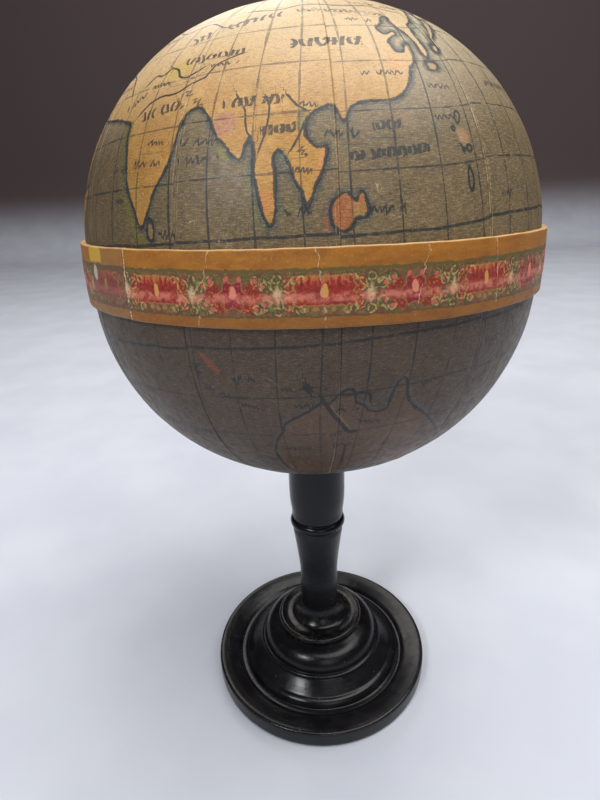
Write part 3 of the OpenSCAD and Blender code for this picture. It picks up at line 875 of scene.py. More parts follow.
class Graph:
    """A material's node tree, built by short calls that take Values, numbers and colours."""

    def __init__(self, name):
        self.material = bpy.data.materials.new(name)
        self.material.use_nodes = True
        tree = self.material.node_tree
        self.nodes, self.links = tree.nodes, tree.links
        self.nodes.clear()
        place = self.output(self.nodes.new("ShaderNodeTexCoord"), "Object")
        self.place = self.vector("SCALE", place, Scale=1 / MM)

    def plug(self, value, socket):
        if isinstance(value, Value):
            self.links.new(value.socket, socket)
        elif socket.type == "RGBA":
            socket.default_value = (*linear(value), 1)
        else:
            socket.default_value = value

    def output(self, node, key=0):
        return Value(self, node.outputs[key])

    def node(self, kind, *values, **settings):
        """A node with these settings, its first inputs plugged in order."""
        node = self.nodes.new("ShaderNode" + kind)
        for key, value in settings.items():
            setattr(node, key, value)
        for value, socket in zip(values, node.inputs):
            self.plug(value, socket)
        return node

    def math(self, op, *values):
        return self.output(self.node("Math", *values, operation=op))

    def vector(self, op, *values, **named):
        node = self.node("VectorMath", *values, operation=op)
        for key, value in named.items():
            self.plug(value, node.inputs[key])
        return self.output(node)

    def fold(self, op, values):
        out = values[0]
        for value in values[1:]:
            out = self.math(op, out, value)
        return out

    def most(self, *values):
        return self.fold("MAXIMUM", values)

    def least(self, *values):
        return self.fold("MINIMUM", values)

    def sine(self, value):
        return self.math("SINE", value)

    def step(self, value, low, high, to_low=0.0, to_high=1.0):
        """Smooth step from low to high; low may be the larger one."""
        limits = value, low, high, to_low, to_high
        return self.output(self.node("MapRange", *limits, interpolation_type="SMOOTHSTEP"))

    def line(self, distance, half, soft=0.06):
        """1 on a line of that half width, 0 away from it."""
        return self.step(abs(distance) - half, soft, 0.0)

    def mix(self, share, a, b):
        node = self.node("Mix", data_type="RGBA")
        for value, i in ((share, 0), (a, 6), (b, 7)):
            self.plug(value, node.inputs[i])
        return self.output(node, 2)

    def coats(self, colour, *layers):
        """The colour with each (share, tone) laid over it in turn."""
        for share, tone in layers:
            colour = self.mix(share, colour, tone)
        return colour

    def disc(self, x, y, cx, cy, r, squash=1.0):
        """Signed distance outside an ellipse round (cx, cy)."""
        dx, dy = x - cx, (y - cy) * squash
        return self.math("SQRT", dx * dx + dy * dy) - r

    def noise(self, scale, detail=3.0, rough=0.5, at=None, stretch=None, warp=0.0):
        at = at or self.place
        if stretch:
            at = self.vector("MULTIPLY", at, stretch)
        node = self.node("TexNoise")
        named = {"Vector": at, "Scale": scale, "Detail": detail, "Roughness": rough, "Distortion": warp}
        for key, value in named.items():
            self.plug(value, node.inputs[key])
        return self.output(node)

    def cells(self, scale, at=None):
        """Distance to the nearest of scattered points."""
        node = self.node("TexVoronoi")
        self.plug(at or self.place, node.inputs["Vector"])
        self.plug(scale, node.inputs["Scale"])
        return self.output(node)

    def chance(self, key):
        """Three random numbers for each whole number."""
        node = self.node("TexWhiteNoise", noise_dimensions="1D")
        self.plug(key, node.inputs["W"])
        return self.xyz(self.output(node, "Color"))

    def attribute(self, name, output="Fac"):
        return self.output(self.node("Attribute", attribute_name=name), output)

    def xyz(self, value=None):
        node = self.node("SeparateXYZ", value or self.place)
        return [self.output(node, i) for i in range(3)]

    def parts(self, name):
        """A vector attribute's three numbers."""
        return self.xyz(self.attribute(name, "Vector"))

    def join(self, x, y, z=0.0):
        return self.output(self.node("CombineXYZ", x, y, z))

    def surface(self, colour, rough, height, depth, **fixed):
        """Ends the material. depth is the bump's height in mm, fixed are constant sockets."""
        shader = self.node("BsdfPrincipled")
        self.plug(colour, shader.inputs["Base Color"])
        self.plug(rough, shader.inputs["Roughness"])
        for key, value in fixed.items():
            shader.inputs[key.replace("_", " ")].default_value = value
        bump = self.node("Bump")
        bump.inputs["Distance"].default_value = depth * MM
        self.plug(height, bump.inputs["Height"])
        self.links.new(bump.outputs[0], shader.inputs["Normal"])
        out = self.node("OutputMaterial")
        self.links.new(shader.outputs[0], out.inputs[0])
        return self.material


def pen_marks(g, u, v, tall, end, pen, key):
    """Rows of pen strokes that stand for writing and can't be read: tall ones are separate
    slanted dashes with loose ends, small ones a running wave."""
    u = u - v * 0.1
    pitch = tall * 0.45
    place = u / pitch
    cell = g.math("FLOOR", place)
    a, b, c = g.chance(cell + key * 31.0)
    x = (g.math("FRACT", place) - (a * 0.4 + 0.3)) * pitch
    x = x - v * ((b - 0.5) * 0.7)
    x = x + (a - 0.5) * (v * v * 2.6 / tall)
    reach = tall * (c * 0.16 + 0.34)
    dash = g.line(x, pen * 1.45) * g.step(abs(v), reach, reach - 0.15)
    level = (b - 0.5) * tall * 0.8
    tie = g.line(v - (level + x * (c - 0.5)), pen * 0.7) * g.step(a, 0.42, 0.46)
    dash = g.most(dash, tie) * g.step(c, 0.03, 0.06)
    rhythm = 7.6 / tall
    phase = u * rhythm + g.sine(u * 1.9 + key * 9.0) * 1.2
    rise = g.step(g.noise(1.1, 1, at=g.join(u, key)), 0.52, 0.66, 0.24, 0.5)
    high = tall * rise
    wave = (g.sine(phase) + g.sine(phase * 2.3) * 0.3) * high
    steep = g.math("COSINE", phase) * high * rhythm
    slope = g.math("SQRT", steep * steep + 1.0)
    loop = g.line((v - wave) / slope, pen * 0.95, 0.08)
    loop = loop * g.step(g.sine(u * 1.3 + key), -0.92, -0.75)
    bold = g.step(tall, 1.55, 1.65)
    mark = dash * bold + loop * (1.0 - bold)
    return mark * g.step(end, 0.0, 0.15) * g.step(abs(v), tall, tall * 0.8)


def paper_tones(g, on_land, fibre, sea, land):
    """Mottled colours of the sea's and the land's paper."""
    blotch = g.noise(0.11, 4, 0.6)
    stain = g.noise(0.35, 5, 0.65, warp=0.6)
    speck = g.noise(4.2, 2, 0.5)
    sea_tone = g.coats(
        sea[0],
        (g.step(blotch, 0.35, 0.65), sea[1]),
        (g.step(stain, 0.46, 0.72) * 0.75, sea[2]),
        (g.step(fibre, 0.5, 0.72) * 0.5, sea[3]),
        (g.step(speck, 0.6, 0.74) * 0.35, sea[1]),
    )
    land_tone = g.coats(
        land[0],
        (g.step(blotch, 0.36, 0.62), land[1]),
        (g.step(stain, 0.48, 0.75) * 0.7, land[2]),
        (g.step(fibre, 0.52, 0.74) * 0.4, land[3]),
    )
    return g.mix(on_land, sea_tone, land_tone)


def washed(g, colour, fibre):
    """The colour under its watercolour washes."""
    alpha = g.attribute("wash", "Alpha")
    cover = alpha + (g.noise(0.9, 4, 0.6) - 0.5) * 0.35
    cover = g.step(cover, 0.14, 0.5) * g.most(alpha, 0.25)
    cover = cover * g.step(alpha, 0.02, 0.1) * g.step(fibre, 0.2, 0.6, 0.65, 1.0)
    return g.mix(cover, colour, g.attribute("wash", "Color"))


def shore_shaded(g, colour, coast, lon, lat, hatch, hatching):
    """Blue-grey shading on the water side of every coast, hatched with short pen lines."""
    water = g.step(coast, 0.1, -0.05)
    band = g.step(coast, g.step(g.noise(0.7, 3), 0.3, 0.7, -1.5, -0.7), -0.45) * water
    patchy = g.step(g.noise(0.5, 3, 0.6), 0.3, 0.55, 0.35, 1.0)
    close = g.step(coast, -0.7, -0.15) * water * patchy
    comb = g.sine((lat + lon * 0.55) * 14.5) + (g.noise(1.4, 2) - 0.5) * 1.6
    hatched = band * g.step(comb, 0.25, 0.8) * patchy
    return g.coats(
        colour,
        (band * patchy * hatch[2], hatch[0]),
        (close * 0.5, hatch[1]),
        (hatched * hatching, hatch[1]),
    )


def graticule_ink(g, on_land, lon, lat, scale, shade):
    """Meridians, parallels and the equator line, worn away in places."""
    worn = g.step(g.noise(0.8, 5, 0.7), 0.3, 0.52, 0.25, 1.0)
    east = abs(g.math("FRACT", lon / MERIDIAN_STEP + 0.5) - 0.5) * MERIDIAN_STEP
    east = east * scale + (g.noise(0.25, 2) - 0.5) * 0.5
    pole_fade = g.step(abs(lat), 80.0, 78.0)
    meridian = g.line(east, g.step(shade, 0.35, 0.7, 0.06, 0.14), 0.08) * pole_fade
    up = abs(g.math("FRACT", lat / PARALLEL_STEP + 0.5) - 0.5) * (PARALLEL_STEP * 0.85)
    up = up + (g.noise(0.3, 3) - 0.5) * 0.45
    parallel = g.line(up, g.step(shade, 0.35, 0.7, 0.06, 0.13), 0.08)
    equator = g.line(lat + (g.noise(0.2, 3) - 0.5) * 0.8, 0.2, 0.12)
    lines = g.most(meridian * 0.92, parallel * 0.9, equator * 0.95)
    return lines * g.step(on_land, 0.0, 1.0, 1.0, 0.72) * worn


def pen_ink(g, coast, shade):
    """Coasts, strokes and scrawls, thinned in places."""
    coast_line = g.line(coast, g.step(shade, 0.3, 0.7, 0.12, 0.27), 0.1)
    across, half_width, _ = g.parts("stroke")
    ragged = (g.noise(1.5, 3) - 0.5) * 0.25
    stroke = g.line(across + ragged, half_width, 0.1)
    scrawl = pen_marks(g, *g.parts("scrawl"), *g.parts("pen"))
    marks = g.most(stroke, coast_line * 0.95, scrawl * 0.92)
    return marks * g.step(g.noise(1.2, 4, 0.7), 0.28, 0.45, 0.5, 1.0)


def map_paper(name, sea, land, hatch, ink, north):
    """Printed and hand-coloured map paper under old varnish."""
    g = Graph(name)
    bare = sea[4]
    coast = g.attribute("coast") + (g.noise(1.6, 5, 0.7) - 0.5) * 0.62
    on_land = g.step(coast, -0.05, 0.05)
    lon, lat, scale = g.parts("grid")
    fibre = g.noise(1.9, 6, 0.75)
    colour = paper_tones(g, on_land, fibre, sea, land)
    # Painted highlight: on the north half the paper turns paler and creamier from printed latitude 12 to 48
    if north:
        colour = g.mix(g.step(lat, 12.0, 48.0) * 0.6, colour, (228, 210, 176))
    colour = washed(g, colour, fibre)
    colour = shore_shaded(g, colour, coast, lon, lat, hatch, 0.55 if north else 0.3)

    weave = g.noise(1.0, 4, 0.65, at=g.join(lon * 0.7, lat * 5.0, 0.0))
    grain = g.noise(5.0, 3, 0.7)
    # Painted shade: the paper west of the front meridian, on the left, is darkened within about 38 degrees
    # of the equator
    painted_left_shade = g.step(lon, -14.0, -44.0) * g.step(lon, -110.0, -80.0) * g.step(abs(lat), 38.0, 14.0)
    colour = g.coats(
        colour,
        (g.step(weave, 0.5, 0.66) * 0.42, sea[2 if north else 3]),
        (g.step(weave, 0.5, 0.36) * 0.3, bare),
        (g.step(grain, 0.54, 0.66) * 0.26, bare),
        (g.step(grain, 0.47, 0.34) * 0.4, ink),
        (painted_left_shade * 0.4, (58, 45, 28)),
    )

    shade = g.noise(0.5, 2)
    inked = g.most(graticule_ink(g, on_land, lon, lat, scale, shade), pen_ink(g, coast, shade))
    colour = g.mix(inked * 0.92, colour, ink)

    # Wear: cracked gore edges, scuffs to bare paper, pale scratches
    west, east, number = g.parts("edge")
    edge = g.least(west, east)
    strength = g.step(g.sine(number * 2.39), 0.2, 0.9, 0.08, 0.5 if north else 0.25)
    if north:
        torn = g.step(abs(number + g.step(west, 6.0, 9.0) - 1.0), 0.5, 0.2)
        strength = g.most(strength, torn * 0.9)
    broken = g.step(g.noise(0.9, 4, 0.7), 0.42, 0.6)
    double = g.most(g.line(edge - 0.12, 0.04, 0.1), g.line(edge - 0.62, 0.02, 0.08) * 0.7)
    scuff = g.step(g.noise(0.6, 6, 0.75, warp=1.2), 0.66, 0.74) * g.step(g.noise(3.0, 3, 0.6), 0.4, 0.6)
    hair = g.noise(0.16, 2, 0.5, warp=2.5)
    scratch = g.line(hair - 0.5, 0.0012, 0.0035) * g.step(g.noise(0.12, 3), 0.56, 0.66)
    colour = g.coats(
        colour,
        (g.line(edge, 0.03, 0.08) * broken * 0.2, ink),
        (double * strength * broken, bare),
        (scuff * 0.65, bare),
        (scratch * 0.6, bare),
    )

    relief = fibre * 0.5 + g.noise(0.5, 3) * 0.8 + weave * 0.5 + double * strength * 0.5 - scuff * 0.4
    rough = g.step(g.noise(0.7, 4, 0.6), 0.3, 0.75, 0.36, 0.56) + scuff * 0.2
    return g.surface(colour, rough, relief, 0.045, Specular_IOR_Level=0.34)


BAND_PERIOD = 27
BAND_FIRST = 7.4
# Cracks down the strip: place along it in mm, and lean
BAND_CRACKS = (
    (16, 0.25), (34, -0.12), (49, 0.2), (64, -0.1), (98, 0.3),
    (140, -0.2), (190, 0.15), (235, 0.2), (280, -0.3),
)


def band_motifs(g, flat, u, v):
    """Red cartouches and rosettes between braces, on an olive ground with dots."""
    dots = g.cells(2.1, at=flat)
    fine = g.cells(3.6, at=flat)
    field = g.coats(
        (96, 82, 44),
        (g.step(g.noise(0.8, 4, 0.6, at=flat), 0.4, 0.62), (124, 88, 54)),
        (g.step(dots, 0.42, 0.2) * 0.7, (70, 78, 44)),
        (g.step(fine, 0.34, 0.12) * 0.6, (186, 142, 84)),
        (g.step(g.noise(0.5, 3, 0.6, at=flat), 0.5, 0.6) * 0.75, (116, 52, 38)),
    )

    # Folded coordinates: side from a cartouche's middle, q from a rosette's, b from a brace's
    side = abs(g.math("WRAP", u - BAND_FIRST, BAND_PERIOD / 2, -BAND_PERIOD / 2))
    q = BAND_PERIOD / 2 - side
    b = side - BAND_PERIOD / 4
    mid = v + 0.75
    above = abs(mid)

    # Braces between the motifs: crossed stalks with curls, pale gold over a dark outline
    stalk = above - abs(b) * 1.05
    stalk = g.most(abs(stalk) * 0.7, abs(b) - 2.3)
    curls = g.least(
        abs(g.disc(b, above, -1.5, 1.25, 0.85)), abs(g.disc(b, above, 1.7, 1.3, 0.75)),
        abs(g.disc(b, above, 0.1, 2.3, 0.55)), abs(g.disc(b, above, 3.2, 2.0, 0.6)),
        abs(g.disc(b, above, -3.3, 2.15, 0.5))
    )
    brace = g.least(stalk, curls, g.disc(b, mid, 0.0, 0.0, 0.3))
    leaf = g.least(
        g.disc(b, above, -2.6, 0.75, 0.62, 1.5), g.disc(b, above, 2.9, 0.8, 0.7, 1.5),
        g.disc(b, above, 0.9, 1.9, 0.35)
    )

    # Cartouche: a red panel with scalloped edges, a comb of short strokes and dotted ends
    scallop = abs(g.sine(u * 2.4)) * 0.16
    panel_edge = g.most(side - (g.sine(v * 5.0) * 0.25 + 4.4), abs(mid - 0.5) - (scallop + 1.95))
    panel = g.step(panel_edge, 0.1, -0.1)
    comb = g.sine(u * 7.2)
    red = g.coats(
        (152, 40, 28),
        (g.step(g.noise(1.3, 4, 0.7, at=flat), 0.4, 0.66), (112, 28, 22)),
        (g.step(comb, 0.0, 0.8) * g.step(v, 0.3, 1.0) * 0.6, (200, 92, 60)),
        (g.step(fine, 0.3, 0.1) * 0.5, (206, 88, 62)),
        (g.step(dots, 0.3, 0.15) * 0.35, (84, 20, 22)),
    )
    almond = g.disc(side, mid, 0.0, 0.5, 0.5, 0.5)
    crest = g.least(
        g.disc(side, mid, 0.0, 2.2, 0.7, 1.4), g.disc(side, mid, 1.5, 2.3, 0.4),
        g.disc(side, mid, 2.7, 2.2, 0.35)
    )
    foot_bits = g.least(
        g.disc(side, mid, 1.3, -2.1, 0.5, 1.5), g.disc(side, mid, 3.0, -2.2, 0.55, 1.4),
        g.disc(side, mid, 0.0, -2.35, 0.4)
    )
    ends = g.least(g.disc(side, above, 5.1, 0.7, 0.75), g.disc(side, above, 5.3, 1.9, 0.5))
    orange = g.mix(g.step(dots, 0.22, 0.4), (200, 88, 36), (128, 42, 28))
    orange = g.mix(g.step(fine, 0.26, 0.1) * 0.7, orange, (222, 150, 78))

    # Rosette: a lobed red flower with a pale heart, orange sprigs and tails beside it
    angle = g.math("ARCTAN2", mid, q)
    lobes = g.math("COSINE", angle * 6.0) * 0.28
    flower = g.disc(q, mid, 0.0, 0.0, 2.0) - lobes
    heart = g.disc(q, mid, 0.0, 0.5, 0.55, 0.6)
    sprigs = g.least(
        g.disc(q, above, 2.9, 0.9, 1.0), g.disc(q, above, 3.9, 0.3, 0.7), g.disc(q, mid, 2.2, -1.9, 0.9, 1.3)
    )
    buds = g.least(
        g.disc(q, above, 4.6, 1.3, 0.3), g.disc(q, mid, 1.0, 2.35, 0.35), g.disc(q, above, 3.5, 2.0, 0.35)
    )

    blossom = g.mix(g.step(dots, 0.2, 0.5), (184, 60, 56), (128, 32, 36))
    blossom = g.mix(g.line(g.sine(angle * 6.0), 0.2, 0.3) * 0.4, blossom, (96, 24, 28))
    pale = g.mix(g.step(fine, 0.3, 0.15), (214, 178, 112), (170, 128, 66))
    gilt = g.line(brace, 0.07, 0.16) * g.step(g.noise(1.5, 3, 0.6, at=flat), 0.4, 0.6)
    knot = g.step(abs(b) + above * 0.5, 1.1, 0.3) * g.step(dots, 0.1, 0.4)
    return g.coats(
        field,
        (g.line(brace, 0.3, 0.12) * 0.7, (62, 64, 34)),
        (g.step(leaf, 0.1, -0.08) * 0.85, (106, 108, 52)),
        (g.step(sprigs, 0.12, -0.1), orange),
        (g.step(ends, 0.12, -0.1), orange),
        (g.step(buds, 0.1, -0.08) * 0.9, (196, 92, 84)),
        (g.step(flower, 0.1, -0.1), blossom),
        (g.line(flower, 0.06, 0.12) * 0.4, (176, 124, 66)),
        (g.step(heart, 0.12, -0.1) * 0.85, (222, 140, 112)),
        (panel, red),
        (g.line(panel_edge, 0.06, 0.14) * 0.5, (180, 124, 58)),
        (g.step(almond, 0.08, -0.06) * 0.9, (204, 152, 74)),
        (g.step(g.least(crest, foot_bits), 0.12, -0.12) * 0.4, (192, 140, 72)),
        (gilt * 0.6, pale),
        (knot * 0.7, (218, 186, 140)),
        (g.step(g.noise(1.9, 4, 0.7, at=flat), 0.54, 0.7) * 0.4, (158, 118, 76)),
        (g.step(fine, 0.2, 0.08) * 0.3, (60, 44, 30)),
    )


def band_worn(g, colour, flat, u, v, height, border):
    """Ends the band's material: a painted highlight along its crease, rubbed, cracked, and hazy where its
    end is pasted over.
    """
    # Painted highlight: a pink line along the crease over the seam, broken in patches
    ridge_highlight = g.line(v + (g.noise(0.25, 2, 0.5, at=flat) * 0.5 + 0.95), 0.25, 0.7)
    highlight_breaks = g.step(g.noise(0.7, 4, 0.7, at=flat), 0.35, 0.6)
    colour = g.mix(ridge_highlight * highlight_breaks * 0.6, colour, (226, 136, 112))

    # Cracks down the strip, its cut end, the hazy pasted-over length and the bare paper edges
    drift = (g.noise(0.8, 3, at=flat) - 0.5) * 1.6
    cracks = [g.line(u - at - (v * lean + drift), 0.02, 0.12) for at, lean in BAND_CRACKS]
    cracks = g.most(*cracks) * g.step(g.noise(0.9, 3, 0.6, at=flat), 0.42, 0.6)
    cream = (216, 188, 150)
    colour = g.mix(cracks * 0.7, colour, cream)
    flakes = g.step(g.noise(1.3, 5, 0.75, at=flat, warp=0.8), 0.66, 0.72) * 0.7
    colour = g.mix(flakes, colour, (206, 164, 116))
    length = TAU * BAND_R / MM
    worn_end = g.step(u, length - 14.5, length - 12.5)
    haze = worn_end * g.step(g.noise(0.7, 4, 0.6, at=flat), 0.2, 0.7, 0.3, 0.7)
    dull = g.mix(border, (104, 72, 60), (142, 108, 66))
    colour = g.mix(haze, colour, dull)
    label = g.line(u - (length - 10.5), 2.6, 0.5) * g.step(v, 3.0, 3.3)
    colour = g.mix(label * 0.75, colour, (208, 166, 48))
    spot = g.step(g.disc(u, v, length - 10.8, 1.4, 0.9, 0.7), 0.2, -0.2)
    colour = g.mix(spot * 0.7, colour, (196, 194, 168))
    lap = g.line(u - g.noise(0.8, 3, at=flat) * 0.4, 0.1, 0.15)
    colour = g.mix(lap * 0.9, colour, cream)
    rim = g.step(abs(height), BAND_HALF / MM - 0.12, BAND_HALF / MM - 0.02)
    colour = g.mix(rim * g.step(height, -1.0, 1.0, 0.3, 0.85), colour, (206, 170, 122))
    relief = g.noise(2.2, 4, 0.6, at=flat) + g.noise(0.4, 3, at=flat) * 0.8
    relief = relief + cracks * 0.7
    rough = g.step(g.noise(0.8, 4, 0.6, at=flat), 0.3, 0.7, 0.38, 0.56)
    return g.surface(colour, rough, relief, 0.05, Specular_IOR_Level=0.42)


def band_paper(name):
    """Chromolithographed border: gold-brown edges, red cartouches and rosettes in gold scrolls."""
    g = Graph(name)
    u, height, _ = g.parts("strip")
    flat = g.join(u, height)
    v = height + (g.noise(0.9, 3, 0.6, at=flat) - 0.5) * 0.8
    u = u + (g.noise(0.8, 3, 0.6, at=g.join(v, u)) - 0.5) * 0.9
    cloud = g.noise(0.35, 5, 0.65, at=flat, stretch=(0.6, 1.4, 1))
    top = g.step(v, 2.85, 2.95)
    low = g.step(v, -3.95, -4.05)
    border = g.most(top, low)
    # Painted shade: the lower gold border is mixed darker than the top one
    gold = g.coats(
        (164, 105, 32),
        (g.step(cloud, 0.35, 0.7), (142, 86, 26)),
        (g.step(g.noise(2.2, 4, 0.7, at=flat), 0.52, 0.72) * 0.55, (200, 142, 62)),
        (g.step(g.noise(1.1, 4, 0.7, at=flat), 0.6, 0.75) * 0.5, (134, 80, 25)),
        (low * 0.35, (96, 56, 20)),
    )
    colour = g.coats(
        band_motifs(g, flat, u, v),
        (g.line(v - 2.62, 0.14, 0.12), (96, 84, 38)),
        (g.line(v + 3.85, 0.08, 0.1) * 0.7, (92, 66, 34)),
        (border, gold),
    )
    return band_worn(g, colour, flat, u, v, height, border)


def ebonised(name):
    """Black-stained turned wood, satin, with dust in the hollows and brown rubbed edges."""
    g = Graph(name)
    x, y, z = g.xyz()
    across = g.math("SQRT", x * x + y * y)
    turning = g.noise(1.0, 3, 0.6, at=g.join(across * 3.0, z * 3.0, 0.0))
    grain = g.noise(0.8, 5, 0.65, stretch=(1.0, 1.0, 0.12))
    cloud = g.noise(0.09, 3, 0.5)
    colour = g.mix(g.step(grain, 0.35, 0.7), (8, 8, 10), (14, 14, 17))
    colour = g.mix(g.step(cloud, 0.4, 0.65) * 0.5, colour, (22, 21, 25))
    rubbed = g.attribute("wear") * g.step(g.noise(0.5, 5, 0.7), 0.4, 0.68)
    colour = g.mix(rubbed * 0.35, colour, (70, 58, 52))
    dust = g.step(g.noise(0.33, 5, 0.7), 0.5, 0.74)
    dust = dust * g.line(z - 16.5, 1.6, 4.0) * g.step(across, 13.5, 12.0)
    colour = g.mix(dust * 0.3, colour, (84, 68, 60))
    film = g.step(g.noise(0.2, 4, 0.6), 0.42, 0.7) * g.step(z, 14.0, 3.0)
    colour = g.mix(film * 0.07, colour, (72, 70, 78))
    nick = g.step(g.noise(1.6, 3, 0.6, warp=0.6), 0.72, 0.78) * 0.8
    colour = g.mix(nick * 0.6, colour, (90, 74, 60))
    speck = g.step(g.cells(0.7), 0.1, 0.05) * g.step(g.noise(0.3, 2), 0.5, 0.6)
    colour = g.mix(speck * 0.5, colour, (140, 136, 132))
    relief = turning * 0.6 + grain * 0.35
    relief = relief - nick * 0.6 + g.noise(0.35, 2) * 0.6
    rough = g.step(g.noise(0.3, 4, 0.65), 0.3, 0.72, 0.18, 0.28)
    rough = rough + dust * 0.3
    return g.surface(colour, rough, relief, 0.05, Specular_IOR_Level=0.27)


def papier_mache(name):
    """Layered grey card pulp with fibres and glue stains."""
    g = Graph(name)
    pulp = g.noise(1.2, 6, 0.7)
    layer = g.noise(0.3, 4, 0.6, stretch=(1, 1, 2.5))
    colour = g.mix(g.step(pulp, 0.35, 0.7), (150, 134, 108), (124, 110, 90))
    colour = g.mix(g.step(layer, 0.5, 0.7) * 0.5, colour, (168, 140, 96))
    colour = g.mix(g.step(g.noise(3.5, 2), 0.62, 0.72) * 0.5, colour, (88, 80, 70))
    return g.surface(colour, g.step(pulp, 0.3, 0.7, 0.82, 0.95), pulp + layer, 0.12)


def bare_wood(name):
    """Plain lime wood: fine straight grain along the axis."""
    g = Graph(name)
    grain = g.noise(1.4, 5, 0.6, stretch=(1, 1, 0.06))
    ring = g.sine((g.xyz()[0] + g.noise(0.2, 2) * 4.0) * 2.6)
    colour = g.mix(g.step(grain, 0.35, 0.68), (196, 160, 112), (170, 130, 86))
    colour = g.mix(g.step(ring, 0.3, 0.9) * 0.35, colour, (150, 110, 70))
    return g.surface(colour, g.step(grain, 0.3, 0.7, 0.6, 0.75), grain, 0.04)


def metal(name, bright, dull, rough, tarnish):
    """Turned metal: fine rings and tarnish in patches."""
    g = Graph(name)
    x, y, z = g.xyz()
    across = g.math("SQRT", x * x + y * y)
    rings = g.noise(1.0, 3, 0.6, at=g.join(across * 9.0, z * 9.0, 0.0))
    patch = g.noise(0.5, 5, 0.65)
    colour = g.mix(g.step(patch, 0.42, 0.66), bright, dull)
    colour = g.mix(g.step(g.noise(1.8, 4, 0.7), 0.56, 0.74) * tarnish, colour, (70, 56, 40))
    finish = g.step(patch + rings * 0.4, 0.4, 0.9, rough, rough + 0.22)
    return g.surface(colour, finish, rings, 0.02, Metallic=1.0)


def leather(name):
    """Thin brown leather with a pebbled grain."""
    g = Graph(name)
    pores = g.cells(3.2)
    colour = g.mix(g.step(g.noise(0.6, 5, 0.6), 0.35, 0.7), (92, 58, 36), (66, 42, 28))
    colour = g.mix(g.step(pores, 0.4, 0.1) * 0.4, colour, (50, 32, 22))
    return g.surface(colour, 0.68, pores + g.noise(1.5, 4), 0.08)


def plain_surface(name, tone, wave, dark):
    """Matt studio paper with a barely visible tooth, pale below and dark higher up."""
    g = Graph(name)
    tooth = g.noise(0.02, 3, 0.5)
    colour = g.mix(g.step(tooth, 0.3, 0.7), tone, wave)
    colour = g.mix(g.step(g.xyz()[2], 2.0, 190.0), colour, dark)
    return g.surface(colour, 0.85, g.noise(0.8, 2), 0.03, Specular_IOR_Level=0.2)


# ---- Assembly -----------------------------------------------------------------------------


def stands_for(piece, body, material, node):
    """Lets the piece ride its body in place of the CAD node."""
    piece.data.materials.append(material)
    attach(piece, body)
    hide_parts(node)


INK = (40, 45, 48)
north_paper = map_paper(
    "north_map_paper",
    sea=((100, 86, 61), (115, 97, 68), (87, 76, 56), (138, 117, 86), (198, 172, 134)),
    land=((176, 124, 50), (190, 139, 62), (205, 159, 84), (160, 106, 38)),
    hatch=((76, 83, 79), (40, 47, 50), 0.8),
    ink=INK,
    north=True,
)
# Painted shade: the south half's paper is a darker copy of the north's, with darker sea, land and ink and
# weaker hatching
shaded_south_paper = map_paper(
    "south_map_paper",
    sea=((62, 51, 40), (72, 58, 45), (53, 45, 37), (88, 71, 55), (146, 122, 100)),
    land=((77, 58, 43), (86, 64, 47), (66, 53, 40), (98, 72, 52)),
    hatch=((76, 78, 76), (46, 48, 50), 0.5),
    ink=(34, 36, 38),
    north=False,
)
PAPERS = {1: north_paper, -1: shaded_south_paper}

for half in (NORTH, SOUTH):
    for k in range(1, GORES + 1):
        stands_for(gore_piece(half, k), "globe", PAPERS[half.side], f"gore_{half.label}_{k:02d}")
    stands_for(cap_piece(half), "globe", PAPERS[half.side], half.label + "_polar_cap")

stands_for(band_piece(), "globe", band_paper("band_paper"), "equator_band")
black = ebonised("ebonised_wood")
stands_for(turned("turned_foot", foot_outline()), "stand", black, "foot")
stands_for(turned("turned_pillar", pillar_outline()), "stand", black, "pillar")

card = papier_mache("papier_mache")
brass = metal("brass", (206, 160, 84), (150, 112, 58), 0.24, 0.5)
KEPT = {
    "north_shell": card, "south_shell": card, "seam_hoop": card,
    "wooden_core": bare_wood("bare_wood"),
    "north_bush": brass, "south_bush": brass, "top_washer": brass, "pole_button": brass,
    "spindle": metal("steel", (176, 176, 178), (128, 128, 130), 0.26, 0.3),
    "foot_screw": metal("screw_steel", (150, 148, 146), (100, 98, 96), 0.34, 0.6),
    "thrust_washer": leather("leather"),
}
for name, material in KEPT.items():
    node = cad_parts[name]
    if not node.material_slots:
        node.data.materials.append(material)
    for slot in node.material_slots:
        slot.link = "OBJECT"
        slot.material = material

# ---- Studio -------------------------------------------------------------------------------

FLOOR_HALF = 3.0
FLOOR_COLUMNS = 9
FLOOR_DROP = 0.02 * MM


def floor_piece():
    """A pale floor that curves up into a backdrop behind the object."""
    front, back, rise, bend = -1.2, 1.3, 1.8, 0.25
    line = [(front, 0.0), (0.0, 0.0), (back, 0.0)]
    turns = np.linspace(0.1, math.pi / 2, 14)
    line += [(back + bend * math.sin(a), bend * (1 - math.cos(a))) for a in turns]
    line += [(back + bend, z) for z in (0.4, 0.6, rise)]
    x = np.linspace(-FLOOR_HALF, FLOOR_HALF, FLOOR_COLUMNS)
    verts = np.array([[cx, y, z - FLOOR_DROP] for y, z in line for cx in x])
    floor = make_mesh("floor", verts, grid_faces(len(line), FLOOR_COLUMNS))
    floor.data.materials.append(
        plain_surface("studio_paper", (196, 200, 210), (188, 192, 203), (84, 72, 72))
    )


floor_piece()


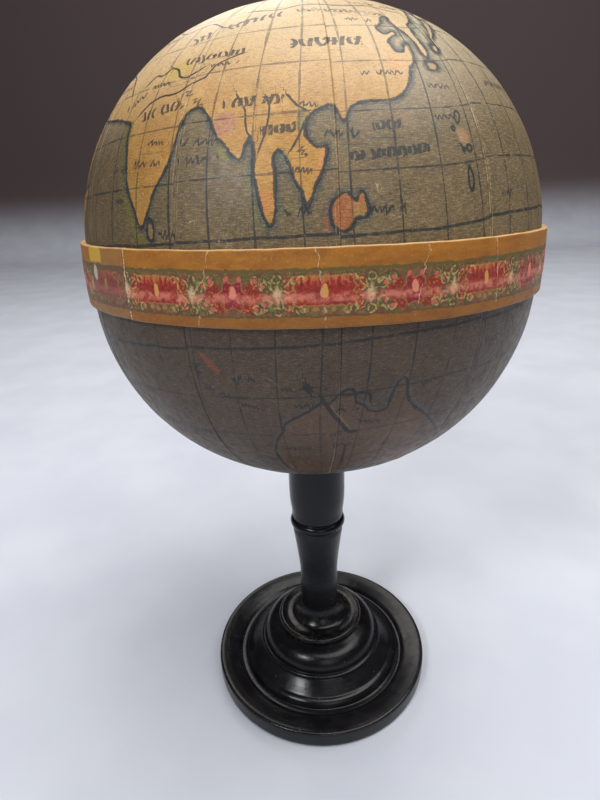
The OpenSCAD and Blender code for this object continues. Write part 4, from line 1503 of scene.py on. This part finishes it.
# The photograph's viewpoint, fitted to the outline of the object: distance from the axis,
# height above the seam, angles in radians, focal length in mm
CAMERA_AWAY, CAMERA_ABOVE = 120.85 * MM, 11.76 * MM
PITCH, ROLL, YAW = 0.3759, -0.0363, -0.0315
LENS = 22.473


def camera_piece():
    """A camera at the photograph's viewpoint."""
    ahead = Vector((math.sin(YAW) * math.cos(PITCH), math.cos(YAW) * math.cos(PITCH), -math.sin(PITCH)))
    right = Vector((math.cos(YAW), -math.sin(YAW), 0))
    up = right.cross(ahead)
    turned_right = right * math.cos(ROLL) + up * math.sin(ROLL)
    turned_up = up * math.cos(ROLL) - right * math.sin(ROLL)
    data = bpy.data.cameras.new("camera")
    data.lens = LENS
    data.sensor_width = 36
    data.clip_start = 0.005
    data.clip_end = 20
    camera = bpy.data.objects.new("camera", data)
    basis = Matrix((turned_right, turned_up, -ahead)).transposed().to_4x4()
    camera.matrix_world = Matrix.Translation((0, -CAMERA_AWAY, SEAM_Z + CAMERA_ABOVE)) @ basis
    bpy.context.scene.collection.objects.link(camera)
    bpy.context.scene.camera = camera


camera_piece()


def area_light(name, place, target, size, power, colour):
    data = bpy.data.lights.new(name, "AREA")
    data.shape = "DISK"
    data.size = size
    data.energy = power
    data.color = colour
    light = bpy.data.objects.new(name, data)
    light.location = place
    light.rotation_euler = (Vector(target) - Vector(place)).to_track_quat("-Z", "Y").to_euler()
    bpy.context.scene.collection.objects.link(light)


middle = (0, 0, SEAM_Z)
area_light("key", (0.4, -0.1, 1.6), middle, 1.8, 37.0, (1.0, 0.98, 0.95))
area_light("window", (-0.12, 0.5, 0.6), middle, 0.3, 0.9, (1.0, 0.97, 0.93))
area_light("front", (0.3, -1.2, 0.7), middle, 0.6, 1.5, (1.0, 0.98, 0.96))
area_light("sheen", (-0.34, -0.46, 0.58), (0, 0, 0), 0.16, 2.3, (0.95, 0.97, 1.0))

world = bpy.data.worlds.new("studio")
world.use_nodes = True
background = world.node_tree.nodes["Background"]
background.inputs["Color"].default_value = (0.82, 0.86, 0.92, 1)
background.inputs["Strength"].default_value = 0.1
bpy.context.scene.world = world
bpy.context.scene.view_settings.view_transform = "Standard"
